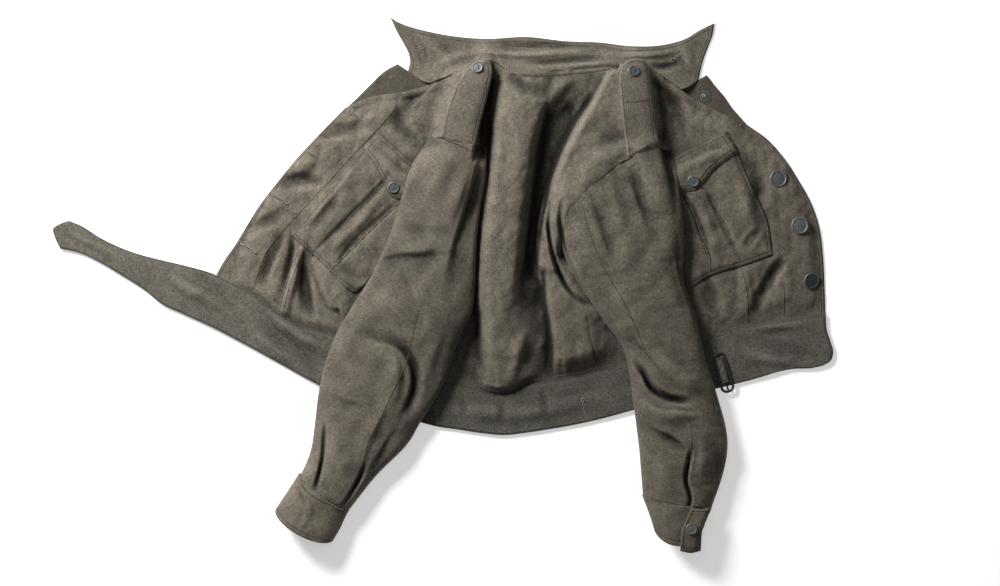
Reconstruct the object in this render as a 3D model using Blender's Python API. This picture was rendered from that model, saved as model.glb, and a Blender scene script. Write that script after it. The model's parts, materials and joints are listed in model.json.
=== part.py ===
"""A battledress jacket laid open on a flat surface, inside down, with its collar spread upwards.

Plan tables give points in plan steps: x grows to the right and y grows towards the hem. Heights
in the tables are millimetres. Everything else is in metres, with +Y towards the collar and +Z up.
"""

import bpy
import numpy as np
from mathutils.bvhtree import BVHTree

PLAN_STEP = 0.00145
PLAN_MIDDLE = (443.95, 284.51)
MM = 0.001
WALL = 0.0022
BAND_WALL = 0.0028
GAP = 0.0003
CHORD = 0.0003
LAY_CLEAR = 0.0008
TUBE_CLEAR = 0.0016
STEEPEST = 1.7
FOLD_FLOOR = 0.0006
WAIST_FADE = 22.0
SEAM_LIFT = 0.0034
SEAM_REACH = 8.0
SEAM_EDGE = 1.5
FLAT_TOP = 1.5
FOLD_POWER = 3.0
CROWN_POWER = 0.8
SIDE_POWER = 1.6
SLEEVE_INSIDE = 0.003
COLLAR_STAND = 0.016
COLLAR_DROP = 0.0048
COLLAR_FALL = 34.0
NEAR_STEPS = (-2.5, 0.0, 2.5)
CAP_FADE = 13.0
CAP_LINE_LEFT = ((431, 139), (487, 151))
CAP_LINE_RIGHT = ((626, 157), (672, 147))
CAP_SIDE_LEFT = 479
CAP_SIDE_RIGHT = 626
SAMPLES = 6
SHARP_ANGLE = np.radians(72)
SETTLE_PASSES = 60
STRAP_CROWN = 0.003
TAB_DROP = 0.010
UPPER_SHARE = 0.64

FRONT_BUTTON_RADIUS = 0.0126
SMALL_BUTTON_RADIUS = 0.0082
SNAP_RADIUS = 0.0055
FOOT_SHARES = (0.0, 0.5, 1.0)

BUCKLE_MIDDLE = (723.2, 372.6)
BUCKLE_LEAN = (11.0, 39.5)
BUCKLE_LENGTH = 0.0600
BUCKLE_WIDTH = 0.0215
BUCKLE_WIRE = 0.0019
BAR_RADIUS = 0.0014
BAR_HEIGHT = 0.0039
LOOP_LENGTH = 0.0370
LOOP_HALF_WIDTH = 0.0054
LOOP_HOLE = 0.0019

# Each fold is a spine that runs towards the hem. Columns: x, y, height, reach to its left and
# reach to its right.
BODY_FOLDS = {
    "shoulder left": [
        (486, 60, 20, 22, 14),
        (481, 78, 32, 40, 16),
        (473, 100, 35, 46, 18),
        (466, 122, 35, 46, 22),
        (460, 146, 34, 40, 28),
    ],
    "shoulder right": [
        (633, 58, 22, 22, 18),
        (635, 80, 33, 26, 22),
        (639, 110, 37, 30, 26),
        (646, 150, 36, 30, 25),
    ],
    "back left of the valley": [
        (530, 72, 16, 34, 34),
        (521, 95, 22, 30, 34),
        (514, 140, 27, 27, 34),
        (507, 200, 28, 30, 30),
        (500, 260, 27, 28, 30),
        (495, 310, 26, 24, 30),
        (497, 350, 24, 28, 26),
        (506, 378, 20, 26, 14),
    ],
    "neck edge": [
        (498, 66, 17, 24, 24),
        (520, 73, 17, 24, 24),
        (560, 73, 17, 26, 26),
        (600, 70, 20, 26, 26),
        (616, 68, 22, 24, 24),
    ],
    "blade right": [
        (612, 84, 28, 17, 34),
        (595, 120, 31, 18, 36),
        (578, 156, 30, 18, 34),
        (562, 196, 27, 16, 22),
        (554, 236, 23, 16, 16),
        (552, 262, 19, 15, 16),
    ],
    "lower right": [
        (554, 278, 16, 13, 20),
        (563, 312, 21, 16, 24),
        (568, 345, 22, 18, 24),
        (566, 368, 20, 18, 24),
    ],
    "puff at the waist": [
        (540, 352, 16, 14, 12),
        (530, 346, 18, 12, 12),
        (521, 354, 19, 12, 12),
        (514, 380, 18, 12, 10),
    ],
    "gather beside the left sleeve": [
        (470, 345, 16, 12, 14),
        (466, 372, 14, 12, 14),
    ],
    "gather beside the right sleeve": [
        (602, 330, 12, 10, 14),
        (610, 362, 12, 12, 14),
    ],
    "left roll": [
        (356, 103, 3, 10, 14),
        (372, 98, 5, 12, 16),
        (404, 93, 7, 12, 20),
        (427, 87, 8, 12, 24),
        (446, 80, 11, 14, 24),
        (464, 71, 16, 16, 22),
    ],
    "right roll": [
        (652, 71, 18, 16, 20),
        (672, 85, 12, 14, 20),
        (695, 100, 9, 12, 18),
        (723, 115, 7, 12, 16),
        (740, 122.5, 4, 10, 12),
    ],
    "left front above the pocket": [
        (392, 104, 8, 22, 18),
        (366, 132, 8, 18, 16),
    ],
    "left front edge": [
        (352, 118, 3, 14, 20),
        (318, 150, 7, 16, 20),
        (290, 180, 6, 14, 18),
        (262, 226, 7, 14, 20),
        (246, 262, 5, 14, 18),
    ],
    "left pocket swell": [
        (352, 176, 9, 26, 26),
        (322, 214, 11, 28, 30),
        (306, 240, 10, 18, 26),
    ],
    "left dart": [
        (304, 254, 9, 12, 9),
        (293, 282, 12, 12, 9),
        (286, 308, 8, 12, 9),
    ],
    "left lower fold": [
        (330, 284, 13, 14, 26),
        (334, 302, 12, 12, 22),
    ],
    "right front shoulder": [
        (668, 96, 8, 20, 20),
        (694, 118, 9, 14, 20),
        (728, 130, 7, 12, 14),
    ],
    "right front edge": [
        (770, 152, 5, 20, 12),
        (786, 186, 5, 20, 16),
        (802, 232, 6, 20, 14),
        (806, 282, 5, 20, 14),
    ],
    "right pocket swell": [
        (724, 180, 9, 26, 20),
        (738, 214, 11, 26, 22),
        (748, 242, 9, 24, 20),
    ],
    "right dart": [
        (744, 272, 10, 14, 10),
        (748, 296, 11, 16, 10),
        (748, 316, 7, 16, 10),
    ],
    "right front lower": [
        (784, 268, 7, 12, 14),
        (776, 292, 7, 12, 16),
    ],
}

# The sleeves' creases are troughs in their upper walls, in the same columns.
SLEEVE_FOLDS = {
    "left outer side": [
        (480, 176, -6, 8, 14),
        (470, 215, -11, 10, 20),
        (466, 250, -12, 12, 22),
        (462, 290, -9, 14, 20),
    ],
    "left above the elbow": [
        (398, 262, -3, 10, 9),
        (428, 256, -5, 10, 9),
    ],
    "left elbow": [
        (403, 352, -5, 9, 9),
        (414, 362, -11, 9, 9),
        (411, 385, -13, 9, 9),
        (407, 408, -9, 8, 9),
    ],
    "left cuff pleat": [
        (326, 432, -4, 7, 7),
        (323, 462, -8, 7, 7),
        (316, 492, -7, 6, 7),
    ],
    "left outer cuff pleat": [
        (362, 468, -5, 7, 7),
        (342, 506, -6, 7, 7),
    ],
    "right head": [
        (588, 190, -4, 7, 8),
        (598, 210, -6, 8, 9),
        (603, 236, -4, 8, 9),
    ],
    "right upper": [
        (623, 165, -6, 9, 9),
        (630, 192, -7, 10, 10),
        (646, 222, -5, 10, 10),
    ],
    "right hind side": [
        (566, 236, -8, 8, 10),
        (573, 262, -10, 8, 12),
    ],
    "right elbow": [
        (641, 368, -8, 8, 9),
        (650, 388, -17, 10, 11),
        (666, 398, -16, 10, 11),
        (686, 396, -8, 9, 10),
    ],
    "right forearm": [
        (655, 437, -5, 9, 9),
        (676, 446, -9, 10, 10),
        (690, 462, -8, 9, 10),
        (693, 490, -6, 8, 8),
    ],
    "right outer forearm": [
        (708, 462, -8, 10, 9),
        (704, 494, -6, 9, 8),
    ],
}

# Outlines of the flat pieces, each edge a short run of plan points.
BACK_EDGES = dict(
    top=[(486.6, 60.7), (497, 64.5), (506, 71.5), (542, 73), (572, 71), (600, 69.5), (613, 66.6),
         (622, 66), (633.4, 59.6)],
    left=[(486.6, 60.7), (470.6, 95.2), (458.6, 140.2), (473, 166), (475, 192), (464, 226), (443, 258),
          (427, 310), (418, 352), (419, 374)],
    right=[(633.4, 59.6), (639.4, 95.1), (648.4, 147), (616, 165), (593, 189), (574, 219), (600, 262),
           (618, 300), (640, 335), (655, 356)],
    bottom=[(419, 374), (446, 382), (473, 387), (500, 394.6), (512, 393), (527, 385),
            (551, 380.5), (573, 377), (599, 371), (625, 366), (655, 356)],
)
FRONT_LEFT_EDGES = dict(
    top=[(345, 108), (370, 97.6), (404, 92), (427, 86), (446, 79), (462, 71.5), (486, 60.5)],
    left=[(345, 108), (300, 155), (260, 205), (235, 245), (215.5, 273.6)],
    right=[(486, 60.5), (470, 95), (458, 140), (437, 165), (428, 196), (430, 230), (441, 257),
           (425, 310), (416, 352), (417.5, 373.6)],
    bottom=[(215.5, 273.6), (234, 283.6), (254, 294.6), (282, 317.6), (329.5, 333.6),
            (384, 355.6), (417.5, 373.6)],
)
FRONT_RIGHT_EDGES = dict(
    top=[(634, 59.5), (648, 68), (669, 83), (695, 100), (723, 115), (748, 126)],
    left=[(634, 59.5), (640, 95), (649, 147), (664, 175), (668, 208), (652, 240), (603, 261),
          (620.5, 299), (642, 334), (656.5, 355.4)],
    right=[(748, 126), (767, 139), (783, 157), (799, 181), (811, 203), (819, 226), (822.5, 254),
           (824.5, 288), (825, 312.5)],
    bottom=[(656.5, 355.4), (703, 341), (739, 328), (768.5, 322), (798, 318), (825, 312.5)],
)
LAPEL_LEFT_EDGES = dict(
    top=[(347, 106.5), (358, 97), (370, 85), (385, 71), (397.6, 64)],
    left=[(347, 106.5), (352, 104.4)],
    right=[(397.6, 64), (407.3, 70.5), (424.6, 80.6), (436, 80.3)],
    bottom=[(352, 104.4), (372, 98.4), (404, 95), (425, 89), (436, 80.3)],
)
LAPEL_RIGHT_EDGES = dict(
    top=[(706.5, 75), (716, 87), (724.6, 97), (732, 108), (740, 117), (746, 124)],
    left=[(706.5, 75), (699, 79.5), (687, 86.1), (675, 89.6)],
    right=[(746, 124), (741, 121.8)],
    bottom=[(675, 89.6), (695, 103), (709, 111), (723, 117.4), (741, 121.8)],
)
COLLAR_EDGES = dict(
    top=[(390, 17.5), (405, 25), (422, 30), (450, 35.6), (485, 38.6), (526, 37), (565, 41),
         (600, 42.5), (634, 46.2), (664, 44.6), (687, 38), (700, 30.5), (714.5, 23.5)],
    left=[(390, 17.5), (398, 34), (403.5, 43), (408.6, 54), (410, 62), (408, 70)],
    right=[(714.5, 23.5), (712.6, 35), (707.7, 48), (703, 61), (698.5, 79)],
    bottom=[(408, 70), (425, 80), (448, 79), (478, 72), (505, 74.4), (540, 75.8), (575, 74),
            (606, 72), (640, 73), (660, 82), (674, 89), (687, 85.6), (698.5, 79)],
)
WAISTBAND_EDGES = dict(
    top=[(69, 220.6), (81, 225.5), (101, 238), (122, 248), (142, 255), (166, 261), (187, 266),
         (214.5, 274.2), (234, 284.2), (254, 295.2), (282, 318.2), (329.5, 334.2), (384, 356.2),
         (419, 374.6), (446, 382.6), (473, 387.6), (500, 395.2), (512, 393.6), (527, 385.6),
         (551, 381.1), (573, 377.6), (599, 371.6), (625, 366.6), (655, 356.6), (703, 341.6),
         (739, 328.6), (768.5, 322.6), (798, 318.6), (825.5, 313.4)],
    left=[(69, 220.6), (60, 224), (53.3, 228.8), (55, 237), (60.4, 248.6)],
    right=[(825.5, 313.4), (827, 331), (830.5, 342), (833, 351), (831, 360), (823, 365.5)],
    bottom=[(60.4, 248.6), (81, 253.5), (101, 263), (122, 275.5), (146, 291), (162, 304),
            (183, 314), (213.5, 328), (244, 344), (275, 361), (318.6, 385), (384, 412),
            (420, 422), (435, 426), (458, 429.5), (481, 433), (504, 435), (527, 432.6),
            (550, 429), (573, 425), (604, 418), (633, 410), (680, 397), (735, 384), (761, 377),
            (777, 372), (792, 369), (812, 368), (823, 365.5)],
)
POCKET_LEFT_EDGES = dict(
    top=[(368, 142), (400, 170), (432, 199)],
    left=[(368, 142), (330, 188), (290.6, 235)],
    right=[(432, 199), (398, 246), (366, 286)],
    bottom=[(290.6, 235), (311, 253), (330, 270), (348, 289), (354, 292.5), (366, 286)],
)
FLAP_LEFT_EDGES = dict(
    top=[(378.5, 131), (410, 159.5), (441, 188)],
    left=[(378.5, 131), (361, 149)],
    right=[(441, 188), (425, 207)],
    bottom=[(361, 149), (374, 165), (383, 182), (388, 194), (399, 199.5), (409, 199),
            (417, 202), (425, 207)],
)
POCKET_RIGHT_EDGES = dict(
    top=[(654, 176), (694, 160), (733, 143)],
    left=[(654, 176), (668, 230), (687, 290)],
    right=[(733, 143), (751, 185), (766.5, 220.5), (774, 248)],
    bottom=[(687, 290), (711, 275.5), (741, 266), (771, 257), (774, 248)],
)
FLAP_RIGHT_EDGES = dict(
    top=[(650, 167), (675.6, 155), (725, 130.5)],
    left=[(650, 167), (660, 190)],
    right=[(725, 130.5), (738, 152)],
    bottom=[(660, 190), (672, 189), (684, 190.5), (697, 189.5), (703, 183), (713, 171),
            (725, 161), (738, 152)],
)
STRAP_LEFT_EDGES = dict(
    top=[(473, 64.5), (479, 61.5), (485, 60.5), (490, 63)],
    left=[(473, 64.5), (464.5, 75), (455, 90), (448, 108), (442, 133.5)],
    right=[(490, 63), (492, 70), (489.4, 89), (482, 118), (475, 145)],
    bottom=[(442, 133.5), (458, 139), (475, 145)],
)
STRAP_RIGHT_EDGES = dict(
    top=[(623, 66), (628, 61.5), (635, 59), (642, 61), (646.5, 66)],
    left=[(623, 66), (619.5, 78), (620.5, 104), (624, 134), (627.5, 150)],
    right=[(646.5, 66), (649, 76), (653, 104), (656, 128), (659, 140.5)],
    bottom=[(627.5, 150), (643, 145), (659, 140.5)],
)
CUFF_TAB_EDGES = dict(
    top=[(690.5, 508.6), (700, 509), (710, 508.6)],
    left=[(690.5, 508.6), (684.5, 521), (680.5, 531), (679.5, 550)],
    right=[(710, 508.6), (706, 517), (702, 527), (699.5, 550)],
    bottom=[(679.5, 550), (690, 551.6), (699.5, 550)],
)

# Stations down each sleeve and cuff. Columns: left x, y, right x, y, crown height above the
# ground, roundness of the sides, and how far the upper and lower walls run ahead towards the hand.
SLEEVE_LEFT = [
    (431, 136, 487, 147, 46, 7, 1, 22),
    (411, 168, 486, 176, 46, 9, 1, 10),
    (401, 201, 481, 205, 43, 10, 0, 3),
    (388, 240, 477, 240, 41, 10, 0, 0),
    (372, 275, 475, 283, 42, 10, 0, 0),
    (354, 304, 472, 312, 45, 11, 0, 0),
    (336, 335, 459, 339, 44, 11, 0, 0),
    (325, 365, 449, 371, 41, 11, 0, 0),
    (318.5, 395, 436, 398, 40, 11, 0, 0),
    (315, 424, 420, 423, 39, 11, 0, 0),
    (311, 450, 402, 450, 38, 12, 2, 0),
    (306, 464, 374, 478, 38, 12, 4, 0),
    (301, 474, 349, 510, 38, 13, 6, 0),
]
CUFF_LEFT = [
    (300.8, 474.4, 348.6, 510.4, 38.5, 13, 6, 0),
    (294, 484, 345, 517, 40, 15, 7, 0),
    (286, 495, 340, 527, 42, 17, 9, 0),
    (277.5, 508, 334, 538, 42, 18, 12, 2),
]
SLEEVE_RIGHT = [
    (561, 227, 671, 146, 44, 8, -18, 16),
    (563, 250, 680, 200, 45, 9, -5, 8),
    (572, 272, 684, 238, 44, 10, 0, 0),
    (589, 299, 683, 275, 43, 10, 0, 0),
    (606, 324, 690, 301, 43, 10, 0, 0),
    (622, 346, 697, 322, 44, 11, 0, 0),
    (629, 373, 705, 357, 44, 11, 0, 0),
    (633, 402, 717, 396, 42, 11, 0, 0),
    (636, 425, 725, 425, 44, 12, 0, 0),
    (639, 450, 727, 450, 42, 12, 0, 0),
    (641, 475, 721, 479, 38, 12, 1, 0),
    (642.6, 495, 711.4, 506, 36, 13, 4, 0),
]
CUFF_RIGHT = [
    (642.7, 495.5, 711.3, 506.5, 36.5, 13, 4, 0),
    (647, 507, 707, 517, 37, 14, 11, 0),
    (653, 521, 702, 529, 36, 15, 20, 3),
]

FRONT_BUTTONS = {
    "button_front_1": (778, 178.7),
    "button_front_2": (799.4, 225.7),
    "button_front_3": (810.5, 280.4),
}
SMALL_BUTTONS = {
    "button_strap_left": (477.3, 68.5),
    "button_strap_right": (633, 72),
    "button_pocket_left": (393.8, 187.6),
    "button_pocket_right": (692.8, 181.3),
}
CUFF_BUTTON = (690.5, 528)
SNAP_PLACE = (705.5, 96.5)

SERGE = (0.128, 0.118, 0.098)
SERGE_GREY = (0.118, 0.116, 0.100)
SERGE_DARK = (0.060, 0.056, 0.047)
PEWTER = (0.150, 0.175, 0.195)
BRONZE = (0.045, 0.042, 0.036)


def clear_scene():
    for thing in list(bpy.data.objects):
        bpy.data.objects.remove(thing, do_unlink=True)


def material(name, colour, roughness, metallic):
    made = bpy.data.materials.new(name)
    made.use_nodes = True
    shader = made.node_tree.nodes["Principled BSDF"]
    shader.inputs["Base Color"].default_value = (*colour, 1.0)
    shader.inputs["Roughness"].default_value = roughness
    shader.inputs["Metallic"].default_value = metallic
    return made


def to_world(x, y):
    """Plan steps to metres."""
    return (x - PLAN_MIDDLE[0]) * PLAN_STEP, (PLAN_MIDDLE[1] - y) * PLAN_STEP


def to_plan(x, y):
    """Metres to plan steps."""
    return x / PLAN_STEP + PLAN_MIDDLE[0], PLAN_MIDDLE[1] - y / PLAN_STEP


def smooth_step(t):
    t = np.clip(t, 0.0, 1.0)
    return t * t * (3.0 - 2.0 * t)


def smooth_rows(rows, count):
    """A table's rows read at even lengths along a smooth curve through them (Catmull-Rom)."""
    rows = np.array(rows, float)
    steps = np.linalg.norm(np.diff(rows[:, :2], axis=0), axis=1)
    knots = np.concatenate([[0.0], np.cumsum(steps)])
    slopes = np.gradient(rows, knots, axis=0)
    places = np.linspace(0.0, knots[-1], count)
    which = np.clip(np.searchsorted(knots, places, side="right") - 1, 0, len(steps) - 1)
    span = steps[which][:, None]
    t = ((places - knots[which]) / steps[which])[:, None]
    start, end = rows[which], rows[which + 1]
    return (
        (2 * t**3 - 3 * t**2 + 1) * start
        + (t**3 - 2 * t**2 + t) * span * slopes[which]
        + (3 * t**2 - 2 * t**3) * end
        + (t**3 - t**2) * span * slopes[which + 1]
    )


def straight_rows(rows, count):
    """A table's rows read at even lengths along straight runs between them."""
    rows = np.array(rows, float)
    steps = np.linalg.norm(np.diff(rows[:, :2], axis=0), axis=1)
    knots = np.concatenate([[0.0], np.cumsum(steps)])
    places = np.linspace(0.0, knots[-1], count)
    columns = [np.interp(places, knots, rows[:, c]) for c in range(rows.shape[1])]
    return np.stack(columns, axis=1)


def patch(edges, across, down):
    """A four-sided sheet's plan points (Coons patch). Rows run down, columns run across."""
    top = straight_rows(edges["top"], across + 1)
    bottom = straight_rows(edges["bottom"], across + 1)
    left = straight_rows(edges["left"], down + 1)
    right = straight_rows(edges["right"], down + 1)
    u = np.linspace(0.0, 1.0, across + 1)[None, :, None]
    v = np.linspace(0.0, 1.0, down + 1)[:, None, None]
    ruled = (1 - v) * top[None] + v * bottom[None] + (1 - u) * left[:, None] + u * right[:, None]
    corners = (
        (1 - u) * (1 - v) * top[0]
        + u * (1 - v) * top[-1]
        + (1 - u) * v * bottom[0]
        + u * v * bottom[-1]
    )
    points = ruled - corners
    return to_world(points[..., 0], points[..., 1])


def fold_height(x, y, rows):
    """One fold: a cosine bump over the nearest point of its spine, of that point's height."""
    spine = smooth_rows(rows, 6 * len(rows))
    best = np.zeros_like(x)
    for start, end in zip(spine[:-1], spine[1:]):
        along = end[:2] - start[:2]
        t = ((x - start[0]) * along[0] + (y - start[1]) * along[1]) / (along @ along)
        t = np.clip(t, 0.0, 1.0)
        here = start + t[..., None] * (end - start)
        off_x, off_y = x - here[..., 0], y - here[..., 1]
        right_side = along[0] * off_y - along[1] * off_x < 0
        reach = np.where(right_side, here[..., 4], here[..., 3])
        share = np.clip(np.hypot(off_x, off_y) / reach, 0.0, 1.0)
        bump = np.cos(0.5 * np.pi * share**FLAT_TOP) ** 2
        found = here[..., 2] * MM * bump
        best = np.where(np.abs(found) > np.abs(best), found, best)
    return best


def waist_line(x):
    """The waist seam's plan y over plan x."""
    seam = np.array(WAISTBAND_EDGES["top"], float)
    return np.interp(x, seam[:, 0], seam[:, 1])


def past_line(x, y, start, end):
    """How far a plan point lies past the line from start to end, on the line's lower side."""
    run = np.array(end, float) - np.array(start, float)
    run /= np.hypot(*run)
    return (y - start[1]) * run[0] - (x - start[0]) * run[1]


def body_height(world_x, world_y):
    """How high the inside of the cloth lies above the surface, all folds joined softly."""
    x, y = to_plan(world_x, world_y)
    total = np.zeros_like(x)
    for rows in BODY_FOLDS.values():
        total += fold_height(x, y, rows) ** FOLD_POWER
    height = np.maximum(total ** (1.0 / FOLD_POWER) - FOLD_FLOOR, 0.0)
    above_seam = waist_line(x) - y
    height *= smooth_step(above_seam / WAIST_FADE)
    left = past_line(x, y, *CAP_LINE_LEFT) / CAP_FADE
    height *= np.where(x < CAP_SIDE_LEFT, 1.0 - smooth_step(left), 1.0)
    right = past_line(x, y, *CAP_LINE_RIGHT) / CAP_FADE
    height *= np.where(x > CAP_SIDE_RIGHT, 1.0 - smooth_step(right), 1.0)
    return np.maximum(height, SEAM_LIFT * smooth_step(SEAM_EDGE - above_seam / SEAM_REACH))


def collar_height(world_x, world_y):
    """The collar climbs from the surface to just under the neck edge that it is sewn to."""
    x, y = to_plan(world_x, world_y)
    neck = np.array(FRONT_LEFT_EDGES["top"] + BACK_EDGES["top"][1:-1] + FRONT_RIGHT_EDGES["top"])
    neck_y = np.interp(x, neck[:, 0], neck[:, 1])
    at_neck = body_height(*to_world(x, neck_y))
    stand = np.clip(at_neck - COLLAR_DROP, 0.0, COLLAR_STAND)
    height = stand * smooth_step(1.0 - (neck_y + 2.0 - y) / COLLAR_FALL)
    around = [(i, j) for i in NEAR_STEPS for j in NEAR_STEPS]
    cover = np.min([body_height(*to_world(x + i, y + j)) for i, j in around], axis=0)
    covered = y > neck_y - max(NEAR_STEPS)
    return np.where(covered, np.minimum(height, np.maximum(cover - COLLAR_DROP, 0.0)), height)


def steepness(x, y, z):
    """The factor by which a slope thins a wall measured upwards: one over the slope's cosine."""
    def across(values):
        return np.gradient(values, axis=1)

    def down(values):
        return np.gradient(values, axis=0)

    area = across(x) * down(y) - down(x) * across(y)
    area = np.where(np.abs(area) < 1e-12, 1e-12, area)
    slope_x = (across(z) * down(y) - down(z) * across(y)) / area
    slope_y = (down(z) * across(x) - across(z) * down(x)) / area
    return np.minimum(np.sqrt(1.0 + slope_x**2 + slope_y**2), STEEPEST)


def finish(name, points, faces, finish_material, smooth=True):
    mesh = bpy.data.meshes.new(name)
    mesh.from_pydata(points.tolist(), [], faces)
    mesh.validate()
    if smooth:
        mesh.shade_smooth()
        mesh.set_sharp_from_angle(angle=SHARP_ANGLE)
    mesh.materials.append(finish_material)
    made = bpy.data.objects.new(name, mesh)
    bpy.context.scene.collection.objects.link(made)
    return made


def grid_faces(rows, columns, first, turned, closed=False):
    """Triangles of a grid of points whose numbers start at first, all split along one diagonal."""
    faces = []
    for r in range(rows - 1):
        for c in range(columns if closed else columns - 1):
            a, b = first + r * columns + c, first + r * columns + (c + 1) % columns
            for corners in ((a, a + columns, b + columns), (a, b + columns, b)):
                faces.append(corners[::-1] if turned else corners)
    return faces


def sheet(name, x, y, under, thick, finish_material, raised=None):
    """A closed wall between the grid at height under and the same grid raised by thick."""
    rows, columns = x.shape
    over = under + thick * steepness(x, y, under)
    if raised is not None:
        over = over + raised
    top = np.stack([x, y, over], axis=-1).reshape(-1, 3)
    low = np.stack([x, y, under], axis=-1).reshape(-1, 3)
    count = rows * columns
    faces = grid_faces(rows, columns, 0, False) + grid_faces(rows, columns, count, True)
    rim = [c for c in range(columns)]
    rim += [r * columns + columns - 1 for r in range(1, rows)]
    rim += [(rows - 1) * columns + c for c in range(columns - 2, -1, -1)]
    rim += [r * columns for r in range(rows - 2, 0, -1)]
    for a, b in zip(rim, rim[1:] + rim[:1]):
        faces.append((a, b, b + count, a + count))
    return finish(name, np.concatenate([top, low]), faces, finish_material)


class Bed:
    """What has been laid down so far, to find how high a new piece has to lie."""

    def __init__(self, *pieces):
        self.trees = []
        self.add(*pieces)

    def add(self, *pieces):
        for piece in pieces:
            points = np.array([v.co for v in piece.data.vertices])
            faces = [tuple(p.vertices) for p in piece.data.polygons]
            tree = BVHTree.FromPolygons(points.tolist(), faces)
            self.trees.append((tree, points.min(axis=0), points.max(axis=0)))

    def top(self, x, y):
        """The highest point straight above the ground at each place, or 0."""
        heights = np.zeros(x.size)
        flat_x, flat_y = x.ravel(), y.ravel()
        for tree, low, high in self.trees:
            near = (flat_x > low[0]) & (flat_x < high[0]) & (flat_y > low[1]) & (flat_y < high[1])
            for i in np.flatnonzero(near):
                hit = tree.ray_cast((flat_x[i], flat_y[i], 1.0), (0.0, 0.0, -1.0))[0]
                if hit is not None:
                    heights[i] = max(heights[i], hit.z)
        return heights.reshape(x.shape)


def corners_of(values, closed):
    """The four corners of every cell of a grid, whose columns may close into a ring."""
    after = np.roll(values, -1, axis=1) if closed else values[:, 1:]
    values = values if closed else values[:, :-1]
    return values[:-1], after[:-1], values[1:], after[1:]


def settle(x, y, z, bed, closed=False, clear=GAP + CHORD):
    """Raises the grid's heights until no cell dips into the bed.

    Every cell is sampled at even places. A sample that lies less than clear above the bed raises
    the cell's corners, each by its share in that sample.
    """
    places = np.linspace(0.0, 1.0, SAMPLES)
    samples = []
    for u in places:
        for v in places:
            shares = (1 - max(u, v), max(u - v, 0.0), max(v - u, 0.0), min(u, v))
            at_x = sum(share * c for share, c in zip(shares, corners_of(x, closed)))
            at_y = sum(share * c for share, c in zip(shares, corners_of(y, closed)))
            bed_top = bed.top(at_x, at_y)
            samples.append((shares, np.where(bed_top > 0, bed_top + clear, 0.0)))
    z = z.copy()
    for _ in range(SETTLE_PASSES):
        rise = np.zeros_like(z)
        for shares, need in samples:
            height = sum(share * c for share, c in zip(shares, corners_of(z, closed)))
            lack = np.maximum(need - height, 0.0) / sum(w * w for w in shares)
            for share, (row, column) in zip(shares, ((0, 0), (0, 1), (1, 0), (1, 1))):
                raised = share * lack
                if closed:
                    raised = np.roll(raised, column, axis=1)
                    target = rise[row: row + raised.shape[0]]
                else:
                    target = rise[row: row + raised.shape[0], column: column + raised.shape[1]]
                np.maximum(target, raised, out=target)
        z += rise
    return z


def lay(name, edges, across, down, bed, thick, finish_material, raised=None):
    """A flat piece laid on what is already there, a seam gap above it."""
    x, y = patch(edges, across, down)
    bed_top = bed.top(x, y)
    under = np.where(bed_top > 0, bed_top + GAP, 0.0)
    under = settle(x, y, under, bed, clear=LAY_CLEAR)
    over = None if raised is None else raised(x, y)
    return sheet(name, x, y, under, thick, finish_material, over)


def bridge(name, edges, across, down, bed, falls, finish_material):
    """A stiff strip laid on the bed: straight across, with its sides lowered by falls."""
    x, y = patch(edges, across, down)
    middle = across // 2
    spine = bed.top(x[:, middle], y[:, middle])
    reach = np.arange(down + 1)
    spine = np.interp(reach, reach[spine > 0], spine[spine > 0])
    off = np.linspace(-1.0, 1.0, across + 1)
    drop = np.where(off < 0, falls[0], falls[1]) * off**2
    under = settle(x, y, spine[:, None] + GAP - drop[None], bed)
    return sheet(name, x, y, under, WALL, finish_material)


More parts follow.
